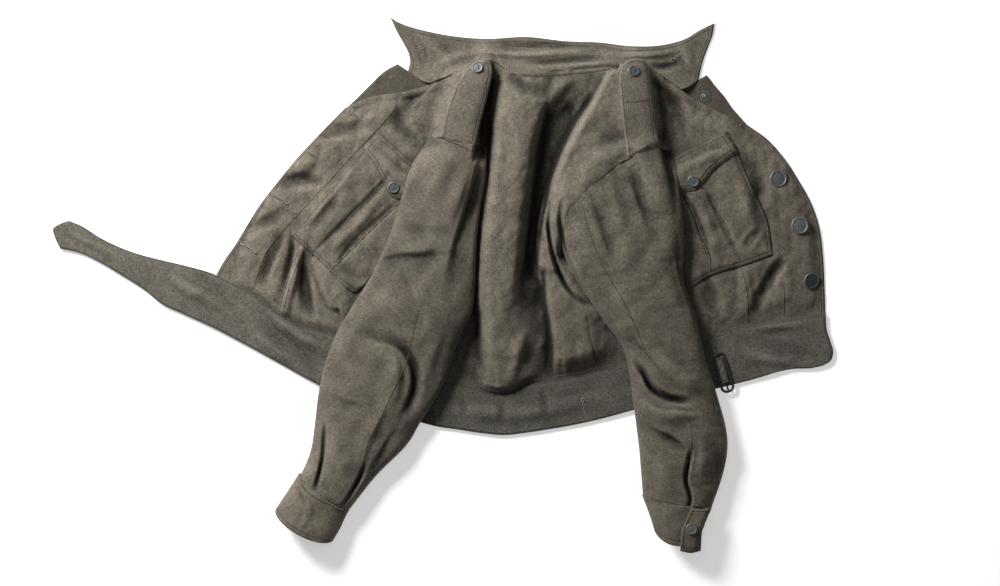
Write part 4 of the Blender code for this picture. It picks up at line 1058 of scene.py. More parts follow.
POCKET_FOLDS = [
    # left pocket: the two edges of its box pleat, and hollows beside them
    [(392, 172, -4.2, 3, 5), (382, 184, -4.8, 3, 5), (346, 220, -4.2, 3, 5),
     (312, 254, -2.8, 3, 4)],
    [(400, 202, -7, 6, 3), (372, 228, -8.4, 6, 3), (350, 250, -8.4, 6, 3), (338, 264, -5.6, 5, 3)],
    [(388, 190, 3.5, 7), (356, 226, 4.2, 8), (324, 258, 2.8, 7)],
    [(352, 170, 3.5, 10, 12), (326, 204, 4.8, 10, 12), (304, 232, 2.8, 8)],
    [(368, 262, 2.8, 8, 10), (352, 276, 4.2, 8)],
    # right pocket
    [(680, 190, -7, 3, 6), (692, 212, -8.4, 3, 6), (702, 238, -8.4, 3, 6), (710, 262, -5.6, 3, 5)],
    [(706, 188, -4.2, 5, 3), (718, 214, -5, 5, 3), (730, 238, -4.2, 5, 3), (740, 262, -2.8, 4, 3)],
    [(696, 196, 2.8, 7), (708, 224, 4.2, 8), (722, 256, 2.8, 7)],
    [(736, 176, 3.6, 9), (748, 206, 4.8, 10, 9), (758, 236, 2.8, 8)],
    [(744, 250, -2.8, 7), (752, 238, -4.2, 7), (760, 230, -2.8, 6)],
]
FLAP_FOLDS = [
    [(372, 150, 2.1, 7), (392, 170, 3.1, 8), (412, 186, 2.2, 8)],
    [(384, 158, -1.4, 5), (378, 170, -2.2, 5)],
    [(680, 168, 2.2, 8), (700, 160, 3.1, 8), (724, 148, 2.2, 8)],
    [(700, 172, -2, 5), (716, 160, -2.2, 5)],
]
for name, node, edges, folds, finish, down, rests, grain, seed in (
    ("pocket_left", "pocket_left", POCKET_LEFT, POCKET_FOLDS, serge_edge, 80,
     "front_left", 40, 41),
    ("pocket_right", "pocket_right", POCKET_RIGHT, POCKET_FOLDS, serge_edge, 80,
     "front_right", -24, 42),
    ("flap_left", "pocket_flap_left", FLAP_LEFT, FLAP_FOLDS, serge_double, 38,
     "pocket_left", 42, 43),
    ("flap_right", "pocket_flap_right", FLAP_RIGHT, FLAP_FOLDS, serge_double, 38,
     "pocket_right", -26, 44),
):
    px, py = patch(edges, 84, down, 0.35)
    x, y = to_world(px, py)
    inside = ease(rim_distance(x, y)[0] / (12 * MM))
    base = lying(px, py, 1.7 * MM)
    puff = (2.2 * MM + creases(px, py, folds) + undulate(px, py, seed, 24, 0.35)) * inside
    cloth(name, px, py, base + np.maximum(puff, -0.4 * MM), finish, node,
          grain=grain, rim_shade_and_wear=0.0, roll=0.8)
    lay_down(name)

# %% [markdown]
# ## Shoulder straps
#
# Each strap is a stiff double strip, sewn in at the sleeve head and buttoned near the neck. It
# spans the slope below it with a slight crown, and its last rows dive under the sleeve head, as
# the real one does where it is sewn in.

# %% Shoulder straps
STRAP_LEFT = dict(
    top=[(471, 66), (477, 61.5), (484, 60.5), (491, 64)],
    left=[(471, 66), (464, 75), (455, 89), (447.6, 108), (440, 143)],
    right=[(491, 64), (492.4, 71), (489.4, 89), (482, 118), (473, 156)],
    bottom=[(440, 143), (457, 149), (473, 156)])
STRAP_RIGHT = dict(
    top=[(621.5, 67), (627, 61.5), (635, 59), (643, 61), (647.5, 67)],
    left=[(621.5, 67), (619, 78), (620.2, 104), (623.6, 134), (628, 166)],
    right=[(647.5, 67), (649, 76), (652.4, 104), (655.5, 128), (661, 156)],
    bottom=[(628, 166), (645, 160.5), (661, 156)])
STRAP_ROWS, DIVE_ROW, DIVE_ROWS, DIVE = 80, 71, 5.0, 6.5 * MM
for name, edges, node, rests, grain, lean, seed in (
    ("strap_left", STRAP_LEFT, "shoulder_strap_left", "front_left", 72, 1.5, 16),
    ("strap_right", STRAP_RIGHT, "shoulder_strap_right", "front_right", -84, -3.5, 17),
):
    px, py = patch(edges, 32, STRAP_ROWS, 0.3)
    off = np.linspace(-1, 1, px.shape[1])[None]
    bed = soften(lying(px, py, 2.2 * MM, 8), 4)
    spine = bed[:, 11:22].mean(axis=1, keepdims=True)
    straight = 0.75 * spine + 0.25 * bed + (2.2 + lean * off - 1.6 * off**2) * MM
    z = np.maximum(straight, read_map(TOP, px, py) + 2.6 * MM)
    z = soften(z, 1) + undulate(px, py, seed, 22, 0.25)
    z -= DIVE * ease((np.arange(len(z)) - DIVE_ROW) / DIVE_ROWS)[:, None]
    cloth(name, px, py, z, serge_edge, node, thickness=2.2 * MM, grain=grain,
          rim_shade_and_wear=-0.8, roll=1.3, stitched="lrt")
    lay_down(name)

# %% [markdown]
# ## Sleeves and cuffs
#
# A sleeve is a tube that lies down, so it is drawn by stations along the arm. Each row below gives
# the left and right side, the crown height, the roundness of the sides and how far the upper and
# lower walls run ahead at the ends, where the seam is curved.

# %% Sleeve tables
SLEEVE_LEFT = [
    (431, 136, 487, 147, 46, 7, 1, 22), (411, 168, 486, 176, 46, 9, 1, 10),
    (401, 201, 481, 205, 43, 10, 0, 3), (388, 240, 477, 240, 41, 10, 0, 0),
    (372, 275, 475, 283, 42, 10, 0, 0), (354, 304, 472, 312, 45, 11, 0, 0),
    (336, 335, 459, 339, 44, 11, 0, 0), (325, 365, 449, 371, 41, 11, 0, 0),
    (318.5, 395, 436, 398, 40, 11, 0, 0), (315, 424, 420, 423, 39, 11, 0, 0),
    (311, 450, 402, 450, 38, 12, 2, 0), (306, 464, 374, 478, 38, 12, 4, 0),
    (301, 474, 349, 510, 38, 13, 6, 0)]
CUFF_LEFT = [
    (299.6, 472.4, 350, 508.8, 38.5, 13, 6, 0), (293, 483, 346, 516, 40, 15, 7, 0),
    (285, 495, 341, 527, 42, 17, 9, 0), (276.5, 508, 334, 539, 42, 18, 12, 2)]
SLEEVE_RIGHT = [
    (561, 227, 671, 146, 44, 8, -18, 16), (563, 250, 680, 200, 45, 9, -5, 8),
    (572, 272, 684, 238, 44, 10, 0, 0), (589, 299, 683, 275, 43, 10, 0, 0),
    (606, 324, 690, 301, 43, 10, 0, 0), (622, 346, 697, 322, 44, 11, 0, 0),
    (629, 373, 705, 357, 44, 11, 0, 0), (633, 402, 717, 396, 42, 11, 0, 0),
    (636, 425, 725, 425, 44, 12, 0, 0), (639, 450, 727, 450, 42, 12, 0, 0),
    (641, 475, 721, 479, 38, 12, 1, 0), (642.6, 495, 711.4, 506, 36, 13, 4, 0)]
CUFF_RIGHT = [
    (641.6, 494.5, 711.8, 505.5, 36.5, 13, 4, 0), (647, 507, 707, 517, 37, 14, 11, 0),
    (653, 521, 702, 529, 36, 15, 20, 3)]
print("stations:", *map(len, (SLEEVE_LEFT, CUFF_LEFT, SLEEVE_RIGHT, CUFF_RIGHT)))

# %% [markdown]
# ## The sleeves' folds
#
# An arm's folds run across it at the elbow and along it elsewhere. The deep hollows beside the
# elbows and behind the right arm are what the eye reads first, so they have the steepest sides.

# %% Folds of the sleeves
SLEEVE_LEFT_FOLDS = [
    # the outer side turned away from the light, with a crisp edge below the strap
    [(481, 154, -2, 4, 26), (476, 178, -7, 4, 28), (467, 210, -9, 4, 28), (457, 244, -7, 5, 30),
     (454, 280, -4, 12, 30), (450, 310, -2, 14, 26)],
    [(470, 160, 2, 12, 6), (460, 195, 2.6, 14, 6), (448, 228, 2, 14, 6)],
    # the cloth breaks over across the arm and falls to the elbow
    [(398, 226, -1.4, 12, 10), (420, 230, -2.6, 12, 10), (446, 234, -2, 12, 10)],
    [(382, 262, -1.6, 30, 6), (396, 258, -3.6, 34, 6), (420, 257, -4.6, 34, 5),
     (448, 252, -4, 30, 6)],
    [(388, 250, 1.6, 7, 12), (416, 250, 2.2, 7, 12), (442, 246, 1.6, 7, 12)],
    [(430, 150, -1.6, 12, 14), (422, 176, -2.6, 12, 16), (412, 204, -1.6, 12, 13)],
    [(448, 150, 1.8, 14, 13), (440, 180, 2.4, 14, 13), (430, 210, 1.6, 13)],
    # around the elbow
    [(372, 300, 2, 14, 12), (396, 306, 2.6, 14), (414, 322, 2, 12, 14)],
    [(352, 330, -1.5, 8, 14), (376, 338, -3, 7, 14), (398, 346, -6, 5, 14), (410, 360, -10, 4, 12),
     (413.5, 380, -10, 3, 13), (408, 404, -5, 4, 12), (400, 420, -2, 6, 10)],
    [(380, 352, 2, 12, 8), (396, 362, 4, 16, 6), (398, 384, 4, 18, 6), (388, 412, 2.4, 16, 8)],
    [(338, 352, 1.6, 12, 14), (352, 366, 2.2, 12, 14), (362, 388, 1.6, 12)],
    [(336, 396, -1.5, 14, 5), (350, 404, -2.4, 14, 5), (366, 404, -1.5, 14, 5)],
    # the shadowed facet at the right
    [(464, 340, -4, 4, 24), (452, 366, -8, 4, 24), (440, 392, -8, 4, 22), (424, 416, -4, 6, 20)],
    [(444, 326, 2.6, 14, 9), (434, 350, 3.4, 14, 8), (426, 380, 2.6, 14, 8)],
    # forearm: the hind seam is a soft ridge, and the cloth falls away right of it
    [(393, 396, 1, 14, 4), (381, 418, 2.4, 16, 4), (369, 444, 2.4, 16, 4), (362, 468, 1.4, 12, 4)],
    [(396, 428, -2, 4, 16), (382, 452, -4, 4, 18), (366, 478, -3, 4, 16)],
    [(350, 434, 1.4, 13, 12), (342, 460, 2.2, 13, 12), (332, 486, 1.4, 12)],
    # the two cuff pleats
    [(326, 420, -1.1, 3), (325, 434, -5, 4, 3), (323.5, 458, -7.5, 4, 2.5),
     (319, 478, -7.5, 4, 2.5), (314, 495, -4, 4)],
    [(336, 424, 1.6, 9), (334, 450, 2.8, 8, 10), (328, 478, 2.4, 7, 9)],
    [(366, 460, -1.5, 3, 4), (361, 474, -6, 2.5, 5), (351, 492, -6, 2.5, 5),
     (341, 509, -3.5, 4, 5)],
]
SLEEVE_RIGHT_FOLDS = [
    # the head: hollows fanning from the armhole, each crisp on the side of the light
    [(590, 200, -1.5, 4, 12), (598, 218, -3.5, 4, 15), (606, 240, -3.5, 5, 15),
     (614, 264, -1.5, 6, 14)],
    [(606, 190, 1.4, 12, 10), (616, 212, 2.6, 12, 10), (626, 240, 2.2, 12, 10)],
    [(630, 170, -1.5, 4, 14), (635, 190, -4, 4, 17), (644, 214, -4, 5, 17),
     (656, 244, -1.5, 7, 16)],
    [(656, 164, 1.4, 12), (664, 200, 2.6, 13, 12), (670, 236, 2.2, 13, 12),
     (674, 262, 1, 12)],
    [(572, 214, 1.6, 9), (580, 234, 3, 9, 10), (590, 258, 2.6, 9, 10)],
    # the fold pocket behind the arm
    [(561, 214, -4.3, 6, 4), (563, 238, -9.5, 4, 3), (567, 258, -12.2, 4, 3),
     (576, 278, -10.8, 4, 3), (590, 300, -5.4, 6, 4)],
    [(572, 256, 2.4, 4, 8), (580, 276, 3.2, 4, 8), (590, 292, 2, 4, 8)],
    # the upper arm, falling away at its right
    [(604, 280, 2, 14), (624, 304, 3, 16, 14), (644, 338, 2, 14)],
    [(676, 240, -1.5, 6, 20), (680, 268, -4, 5, 22), (690, 300, -5, 5, 24), (702, 336, -3, 7, 22)],
    [(662, 262, 1.6, 14, 10), (672, 290, 2.4, 14, 8), (684, 322, 1.6, 14, 8)],
    [(630, 330, -1.5, 14, 4), (640, 348, -3, 14, 4), (656, 364, -2, 14, 5)],
    # elbow: the black hollow and the light ridge below it
    [(634, 362, -3.2, 6, 9), (643, 374, -11, 4, 7), (650, 387, -19, 4, 7), (661, 396.5, -18, 4, 7),
     (676, 400, -10, 5, 7), (692, 401, -3.2, 8, 9)],
    [(652, 350, 3, 13, 10), (670, 366, 5, 13, 10), (686, 380, 5, 13, 10), (704, 388, 3, 12, 10)],
    [(642, 400, 2.2, 10, 6), (655, 410, 5, 14, 5), (676, 413, 5.4, 14, 5), (702, 416, 4.3, 14, 6)],
    [(640, 422, -1.1, 14, 5), (658, 432, -5, 14, 4), (674, 440, -7, 13, 4), (688, 452, -5, 10, 5)],
    [(652, 456, 2, 14, 8), (664, 474, 3, 12, 10), (670, 492, 2, 10)],
    [(700, 434, 2.6, 8, 12), (702, 456, 3.6, 8, 12), (698, 480, 2.6, 8, 12)],
    [(716, 440, -2, 8, 12), (718, 462, -3, 8, 12), (708, 488, -3, 8, 12)],
    # the slit above the cuff
    [(691, 446, -3, 4), (688, 462, -8, 4, 3), (685.5, 478, -8.5, 4, 3), (690, 500, -6, 4, 3),
     (684, 516, -3, 5, 4)],
    [(676, 466, 1.8, 9, 7), (677, 486, 2.4, 9, 7)],
]
CUFF_FOLDS = [
    [(297, 485, -1.5, 4), (303, 497, -2.6, 4), (309, 510, -1.5, 4)],
    [(312, 498, 1.4, 6), (306, 520, 2, 6), (298, 530, 1, 5)],
    [(330, 506, -1.2, 5), (326, 526, -1.6, 5)],
    [(658, 506, 1, 6), (664, 522, 1.6, 6)],
]

print("sleeve folds:", len(SLEEVE_LEFT_FOLDS), len(SLEEVE_RIGHT_FOLDS), "and", len(CUFF_FOLDS))

# %% [markdown]
# ## Tubes that lie down
#
# The lower wall of a lying sleeve takes the shape of whatever is under it, its sides stay round,
# and its upper wall is held up by the stiffness of the folds. So each ring is worked out from the
# height map first and from the crown second. The head grows out of the body's cloth, to which the
# real sleeve is sewn.

# %% Sleeves and cuffs
def lying_tube(name, table, stations, around, folds, node, finish, thickness, seed,
               clear=0.8, rim_shade_and_wear=0.4, head=0, sink=-0.3):
    """Rings between the two sides of each station; half follows the map, half rises to a crown.

    Over the first head rows the tube grows out of the body's cloth, from sink mm below its top.
    """
    rows = curve(table, stations)
    uppers = int(0.68 * around)
    lowers = around - uppers
    turn = np.pi * np.concatenate([
        (np.arange(uppers) + 0.5) / uppers, 1 + (np.arange(lowers) + 0.5) / lowers])
    share, swell, upper = (1 - np.cos(turn)) / 2, np.abs(np.sin(turn)), np.sin(turn) > 0
    left_x, left_y = to_world(rows[:, 0], rows[:, 1])
    right_x, right_y = to_world(rows[:, 2], rows[:, 3])
    span = np.stack([right_x - left_x, right_y - left_y], axis=1)
    width = np.hypot(span[:, 0], span[:, 1])
    ahead = np.stack([span[:, 1], -span[:, 0]], axis=1) / width[:, None]
    bow = np.where(upper[None], rows[:, 6:7], rows[:, 7:8]) * STEP * swell[None]
    x = left_x[:, None] + span[:, :1] * share[None] + ahead[:, :1] * bow
    y = left_y[:, None] + span[:, 1:] * share[None] + ahead[:, 1:] * bow
    px, py = to_plan(x, y)
    raw = read_map(TOP, px, py)
    low = np.maximum(soften(swollen(raw, 3), 3, True), raw) + 0.2 * MM
    side = rows[:, 5:6] * MM
    first, last = low[:, :1] + side, low[:, uppers - 1: uppers] + side
    level = first * (1 - share[None]) + last * share[None]
    crown = np.maximum(rows[:, 4:5] * MM, level + 4 * MM)
    top = level + (crown - level) * swell[None] ** 0.8
    detail = (creases(px, py, folds) + undulate(px, py, seed, 40, 0.8)
              + undulate(px, py, seed + 1, 15, 0.3) + crumple(px, py, seed + 2, 34, 0.8))
    top = top + detail * ease(1.6 * swell[None])
    join = (1.0 - ease(np.arange(stations) / max(head, 1)))[:, None] * (head > 0)
    seam_z = body_surface(px, py) - sink * MM
    strap = soften(ease((raw - seam_z - (sink + 0.8) * MM) / MM), 2, True)
    seam_z = seam_z + (raw + 0.8 * MM - seam_z) * strap
    top = top + (seam_z[:1] - top[:1]) * join
    least = low + 2 * thickness + 2.5 * MM * swell[None]
    top = np.maximum(top, least + (seam_z - least) * join)
    bottom = low + side * (1 - swell[None]) ** 1.6 + clear * MM
    bottom = bottom + (np.minimum(bottom, seam_z - 2.2 * MM) - bottom) * join
    z = np.where(upper[None], top, bottom)
    run = np.cumsum(np.hypot(*np.gradient(rows[:, :2], axis=0).T))[:, None] * STEP
    next_x, next_z = np.diff(x, axis=1, append=x[:, :1]), np.diff(z, axis=1, append=z[:, :1])
    along = np.cumsum(np.hypot(next_x, next_z), axis=1).mean(axis=0)
    along, run, rim = np.broadcast_arrays(along, run, run[-1] - run)
    uv = np.stack([along, run], axis=-1)
    # Upper wall: painted shade in the hollows and at the rim, wear and painted highlight where
    # proud; the lower wall is painted in shade.
    shade = np.where(upper[None], proudness(z, True) - rim_shade_and_wear * rim_shade(rim), -0.2)
    points = np.stack([x, y, z], axis=-1)
    quads = grid_quads(stations, around, closed=True)
    made = mesh_object(name + "_cloth", points, quads, finish, uv,
                       shade=shade, rim=rim, along=along)
    SURFACES[name] = (x[:, :uppers], y[:, :uppers], z[:, :uppers])
    closed = np.concatenate([points, points[:, :1]], axis=1)
    cut, area = cut_size(mean_length(closed, 1), mean_length(points, 0), closed)
    sew(wall(made, thickness), node, cut, area)
    print(f"{name}: highest {z.max() * 1000:.1f} mm")


lying_tube("sleeve_left", SLEEVE_LEFT, 215, 150, SLEEVE_LEFT_FOLDS, "sleeve_left",
           serge, 1.7 * MM, 51, rim_shade_and_wear=0.0, head=16)
lying_tube("sleeve_right", SLEEVE_RIGHT, 210, 150, SLEEVE_RIGHT_FOLDS, "sleeve_right",
           serge, 1.7 * MM, 61, rim_shade_and_wear=0.0, head=26, sink=1.0)
lying_tube("cuff_left", CUFF_LEFT, 36, 100, CUFF_FOLDS, "cuff_left",
           serge_edge, 2.6 * MM, 71, clear=0.0)
lying_tube("cuff_right", CUFF_RIGHT, 34, 110, CUFF_FOLDS, "cuff_right",
           serge_edge, 2.6 * MM, 73, clear=0.0)
for name in ("sleeve_left", "sleeve_right", "cuff_left", "cuff_right"):
    lay_down(name)

# %% [markdown]
# ## Cuff tab
#
# The right cuff closes with a buttoned overlap, whose end hangs off the cuff's lower edge. Its
# spine follows the cuff where that carries it, and runs straight on and sinks beyond.

# %% Cuff tab
TAB = dict(
    top=[(690.5, 507), (700, 508), (711, 507.5)],
    left=[(690.5, 507), (684.5, 520), (680.5, 531), (679.5, 550)],
    right=[(711, 507.5), (706.5, 517), (702.3, 527), (700, 550)],
    bottom=[(679.5, 550), (690, 552), (700, 550)])
TAB_WALL = 2.4 * MM
px, py = patch(TAB, 26, 50, 0.3)
bed = lying(px, py, TAB_WALL, 3)
spine = bed[:, 8:16].max(axis=1)
held = np.flatnonzero(spine > 0.75 * spine.max())[:-5]
spine = np.interp(np.arange(len(spine)), held, spine[held])
spine = spine - 4 * MM * ease((np.arange(len(spine)) - 34) / 20.0)
off = np.linspace(-1, 1, px.shape[1])[None]
falling = spine[:, None] - 5 * MM * np.maximum(off, 0) ** 2
z = soften(np.maximum(falling, read_map(TOP, px, py) + 2.8 * MM), 2)
cloth("cuff_tab", px, py, z, serge_edge, "cuff_tab_right",
      thickness=TAB_WALL, grain=80, rim_shade_and_wear=-0.3, roll=1.0)
lay_down("cuff_tab")

# %% [markdown]
# ## Seams
#
# Where two panels meet, one is folded over the other and stitched, which leaves a thin line of
# shade with a low lip beside it. Each seam is a narrow ribbon with that section, laid along its
# surface;
# its middle is painted dark as shade and its lip paler as painted highlight.
# A groove in the panel's own grid would need far finer cells.

# %% Seams
def height_on(name, px, py):
    """Height of a laid surface: mean over its four nearest grid points by inverse distance."""
    x, y = to_world(px, py)
    gx, gy, gz = (grid.ravel() for grid in SURFACES[name])
    away = (gx[None] - np.ravel(x)[:, None]) ** 2 + (gy[None] - np.ravel(y)[:, None]) ** 2
    near = np.argpartition(away, 4, axis=1)[:, :4]
    weight = 1.0 / (np.take_along_axis(away, near, axis=1) + 1e-9)
    return ((weight * gz[near]).sum(axis=1) / weight.sum(axis=1)).reshape(np.shape(px))


def offset_run(points, spacing=1.0):
    """A smooth run through plan points, with unit directions and normals."""
    points = np.array(points, float)
    length = np.linalg.norm(np.diff(points, axis=0), axis=1).sum()
    run = curve(points, max(int(length / spacing), 4))
    ahead = unit(np.gradient(run, axis=0))
    return run, ahead, np.stack([-ahead[:, 1], ahead[:, 0]], axis=1)


SEAM_OFF = np.array([-1.9, -0.8, -0.25, 0.25, 0.8, 1.9])
SEAM_RISE = np.array([-0.5, 0.35, -0.1, 0.1, 0.65, -0.5]) * MM
# Painted shade down the seam's middle, painted highlight on its lip.
SEAM_SHADE_AND_HIGHLIGHT = np.array([0.0, 0.1, -1.1, -1.1, 0.25, 0.0])


def seam(name, surface, points, width, lift):
    """A ribbon with a lapped seam's section along a plan run, tapering at both ends, with painted
    shade down its middle.
    """
    run, _, normal = offset_run(points)
    taper = np.minimum(1.0, np.minimum(np.arange(len(run)), np.arange(len(run))[::-1]) / 4.0)
    off = SEAM_OFF[None] * width * (0.25 + 0.75 * taper[:, None])
    px = run[:, :1] + off * normal[:, :1]
    py = run[:, 1:2] + off * normal[:, 1:2]
    z = height_on(surface, px, py) + lift * SEAM_RISE[None] * (0.3 + 0.7 * taper[:, None])
    x, y = to_world(px, py)
    shade = np.broadcast_to(SEAM_SHADE_AND_HIGHLIGHT, px.shape) * taper[:, None]
    uv = np.stack([x, y], axis=-1)
    belong(mesh_object(name, np.stack([x, y, z], -1), grid_quads(*px.shape)[:, ::-1], serge, uv,
                       shade=shade))


SEAMS = (  # name, surface, width and lift of the section, and the run on the plan
    ("seam_arm_right", "sleeve_right", 0.8, 1.0, [(581, 202), (590, 235), (604, 269), (620, 296),
        (634, 325), (648, 356), (662, 374)]),
    ("seam_arm_right_low", "sleeve_right", 0.6, 1.0, [(689, 418), (691, 436), (690, 456)]),
    ("seam_arm_left", "sleeve_left", 0.7, 1.0, [(419, 310), (413, 338), (406, 366), (393, 393),
        (381, 418), (369.5, 441), (363, 466)]),
    ("seam_arm_left_outer", "sleeve_left", 0.7, 1.0, [(472, 308), (458, 345), (442, 382),
        (426, 414)]),
    ("seam_back", "back", 0.8, 1.0, [(585, 313), (592, 345), (598, 368)]),
    ("facing_left_1", "front_left", 0.6, 1.0, [(396, 108), (378.5, 129), (360, 148), (330, 181),
        (300, 213), (265, 256), (253.6, 289)]),
    ("dart_left", "front_left", 0.7, 1.0, [(304, 250), (292, 280), (283, 314)]),
    ("dart_left_2", "front_left", 0.6, 1.0, [(299.5, 250), (288, 279), (279.5, 311)]),
    ("facing_right", "front_right", 0.5, 1.0, [(727, 130), (745, 165), (760, 205), (772, 245)]),
    ("dart_right", "front_right", 0.7, 1.0, [(741, 268), (747, 292), (748, 326)]),
    ("seam_neck", "back", 1.5, 1.6, [(507, 74.5), (524, 76), (542, 76.5), (572, 74.5), (600, 71.5),
        (612, 69.5)]),
    ("seam_cap_right", "sleeve_right", 1.3, 2.2, [(596, 181), (606, 172), (617, 163), (628, 156.5),
        (640, 151), (652, 147), (664, 144.5)]),
    ("seam_cap_left", "sleeve_left", 1.5, 1.8, [(433, 138), (442, 139), (457, 145), (471, 151)]),
    ("strap_cross", "strap_right", 0.5, 1.0, [(621.5, 103), (636, 102.5), (651, 100)]),
    ("pleat_left", "pocket_left", 0.7, 1.0, [(383, 184), (356, 209), (334, 231), (311, 255)]),
    ("pleat_left_deep", "pocket_left", 1.2, 1.0, [(401, 202), (374, 228), (352, 250), (340, 262),
        (330, 272)]),
    ("pleat_right_deep", "pocket_right", 1.2, 1.0, [(680, 191), (691, 211), (700, 235), (710, 258),
        (710, 274)]),
    ("pleat_right", "pocket_right", 0.6, 1.0, [(709, 193), (719, 215), (734, 248), (741, 264)]),
    ("inside_right", "front_right", 0.5, 1.0, [(784, 286), (784, 317)]),
    ("seam_cuff_left", "cuff_left", 0.7, 1.0, [(300, 474.5), (304.5, 487), (315, 496),
        (328, 502.5), (341, 509.5), (348, 511)]),
)
for name, surface, width, lift, points in SEAMS:
    seam(name, surface, points, width, lift)
print("seams:", len(SEAMS))

# %% [markdown]
# ## Stitches
#
# The back's top and bottom seams and the right sleeve's head are topstitched in a thread that is
# paler than the cloth. Stitches are so short that a spindle with four sides is enough for each,
# and all of them are one mesh.

# %% Stitches
def capsules(name, starts, ends, radius, finish):
    """Many short threads: four-sided spindles between paired points."""
    ahead = ends - starts
    side = unit(np.cross(unit(ahead), [0.0, 0.0, 1.0]))
    up = np.cross(side, unit(ahead))
    places = np.array([0.0, 0.18, 0.5, 0.82, 1.0])
    bulge = np.array([0.15, 0.85, 1.0, 0.85, 0.15]) * radius
    turns = np.arange(4) * np.pi / 2
    ring = (np.cos(turns)[:, None, None] * side + np.sin(turns)[:, None, None] * up)
    points = (
        starts[:, None, None] + places[None, :, None, None] * ahead[:, None, None]
        + bulge[None, :, None, None] * ring.transpose(1, 0, 2)[:, None]
    )
    count = len(starts)
    quads = grid_quads(5, 4, closed=True)[None] + 20 * np.arange(count)[:, None, None]
    belong(mesh_object(name, points, quads.reshape(-1, 4)[:, ::-1], finish))


def stitch_ends(surface, points, pitch=2.6, length=1.7, rise=0.25 * MM):
    """Start and end points of a row of stitches along a plan run."""
    run, ahead, _ = offset_run(points, 0.25)
    far = np.concatenate([[0], np.cumsum(np.linalg.norm(np.diff(run, axis=0), axis=1))])
    at = np.arange(pitch / 2, far[-1] - length, pitch)
    ends = []
    for places in (at, at + length):
        px, py = np.interp(places, far, run[:, 0]), np.interp(places, far, run[:, 1])
        x, y = to_world(px, py)
        ends.append(np.stack([x, y, height_on(surface, px, py) + rise], axis=1))
    return ends


thread = two_tone("pale thread", (0.075, 0.071, 0.060), (0.21, 0.20, 0.17), 0.8, 500.0, 2500.0,
                  0.1 * MM, 0.5)

STITCHED = [
    ("back", [(508, 76.6), (542, 78), (572, 76), (612, 72)]),
    ("back", [(446, 379), (473.6, 384), (499.6, 391.6), (512, 390), (527, 382), (551.6, 377),
                    (573, 374), (599, 368), (625, 363)]),
    ("sleeve_right", [(585, 199), (593, 192), (606, 179), (622, 164)]),
]
starts, ends = map(np.concatenate, zip(*(stitch_ends(*row) for row in STITCHED)))
capsules("stitches_fine", starts, ends, 0.38 * MM, thread)
print("stitches:", len(starts))

# %% [markdown]
# ## Buttonholes and marks
#
# A tailor's buttonhole is cut first and then bound with close stitches, which leaves a raised oval
# of thread round a slit. The slit is a flat near-black oval laid on the cloth: painted shade. Its
# eyelet lies at the outer end.

# %% Buttonholes
def tube_quads(count, around):
    """Quads of a ring of tube sections, closed both ways."""
    a, b = np.arange(count)[:, None], np.arange(around)[None]
    n, m = (a + 1) % count, (b + 1) % around
    quads = [a * around + b, n * around + b, n * around + m, a * around + m]
    return np.stack(quads, axis=-1).reshape(-1, 4)


def ring_tube(middle, along, beside, up, long, wide, radius, count=28, around=8):
    """Points of a thin tube round an oval, and its quads."""
    turn = np.arange(count) * 2 * np.pi / count
    path = (middle + long * np.cos(turn)[:, None] * along + wide * np.sin(turn)[:, None] * beside)
    outward = wide * np.cos(turn)[:, None] * along + long * np.sin(turn)[:, None] * beside
    outward = unit(outward)
    roll = np.arange(around) * 2 * np.pi / around
    points = path[:, None] + radius * (
        np.cos(roll)[None, :, None] * outward[:, None] + np.sin(roll)[None, :, None] * up)
    return points.reshape(-1, 3), tube_quads(count, around)


def oval_disc(middle, along, beside, long, wide, count=24):
    """A flat oval of three rings that closes in a small ring, and its quads."""
    turn = np.arange(count) * 2 * np.pi / count
    ring = long * np.cos(turn)[:, None] * along + wide * np.sin(turn)[:, None] * beside
    points = middle + np.array([1.0, 0.6, 0.3, 0.01])[:, None, None] * ring[None]
    return points.reshape(-1, 3), grid_quads(4, count, closed=True)


def frame_at(surface, place, towards):
    """Middle, direction, sideways and normal of a surface at a plan point."""
    spots = np.array([place, (place[0] + 2, place[1]), (place[0], place[1] + 2)], float)
    z = height_on(surface, spots[:, 0], spots[:, 1])
    x, y = to_world(spots[:, 0], spots[:, 1])
    middle, east, south = np.stack([x, y, z], axis=1)
    up = unit(np.cross(south - middle, east - middle))
    aim = np.array([towards[0] - place[0], place[1] - towards[1], 0.0])
    aim = unit(aim - up * (aim @ up))
    return middle, aim, np.cross(up, aim), up


def put_together(name, parts, finish):
    """Joins lists of (points, quads) into one piece of the garment."""
    shift, points, quads = 0, [], []
    for part_points, part_quads in parts:
        points.append(part_points)
        quads.append(part_quads + shift)
        shift += len(part_points)
    belong(mesh_object(name, np.concatenate(points), np.concatenate(quads), finish))


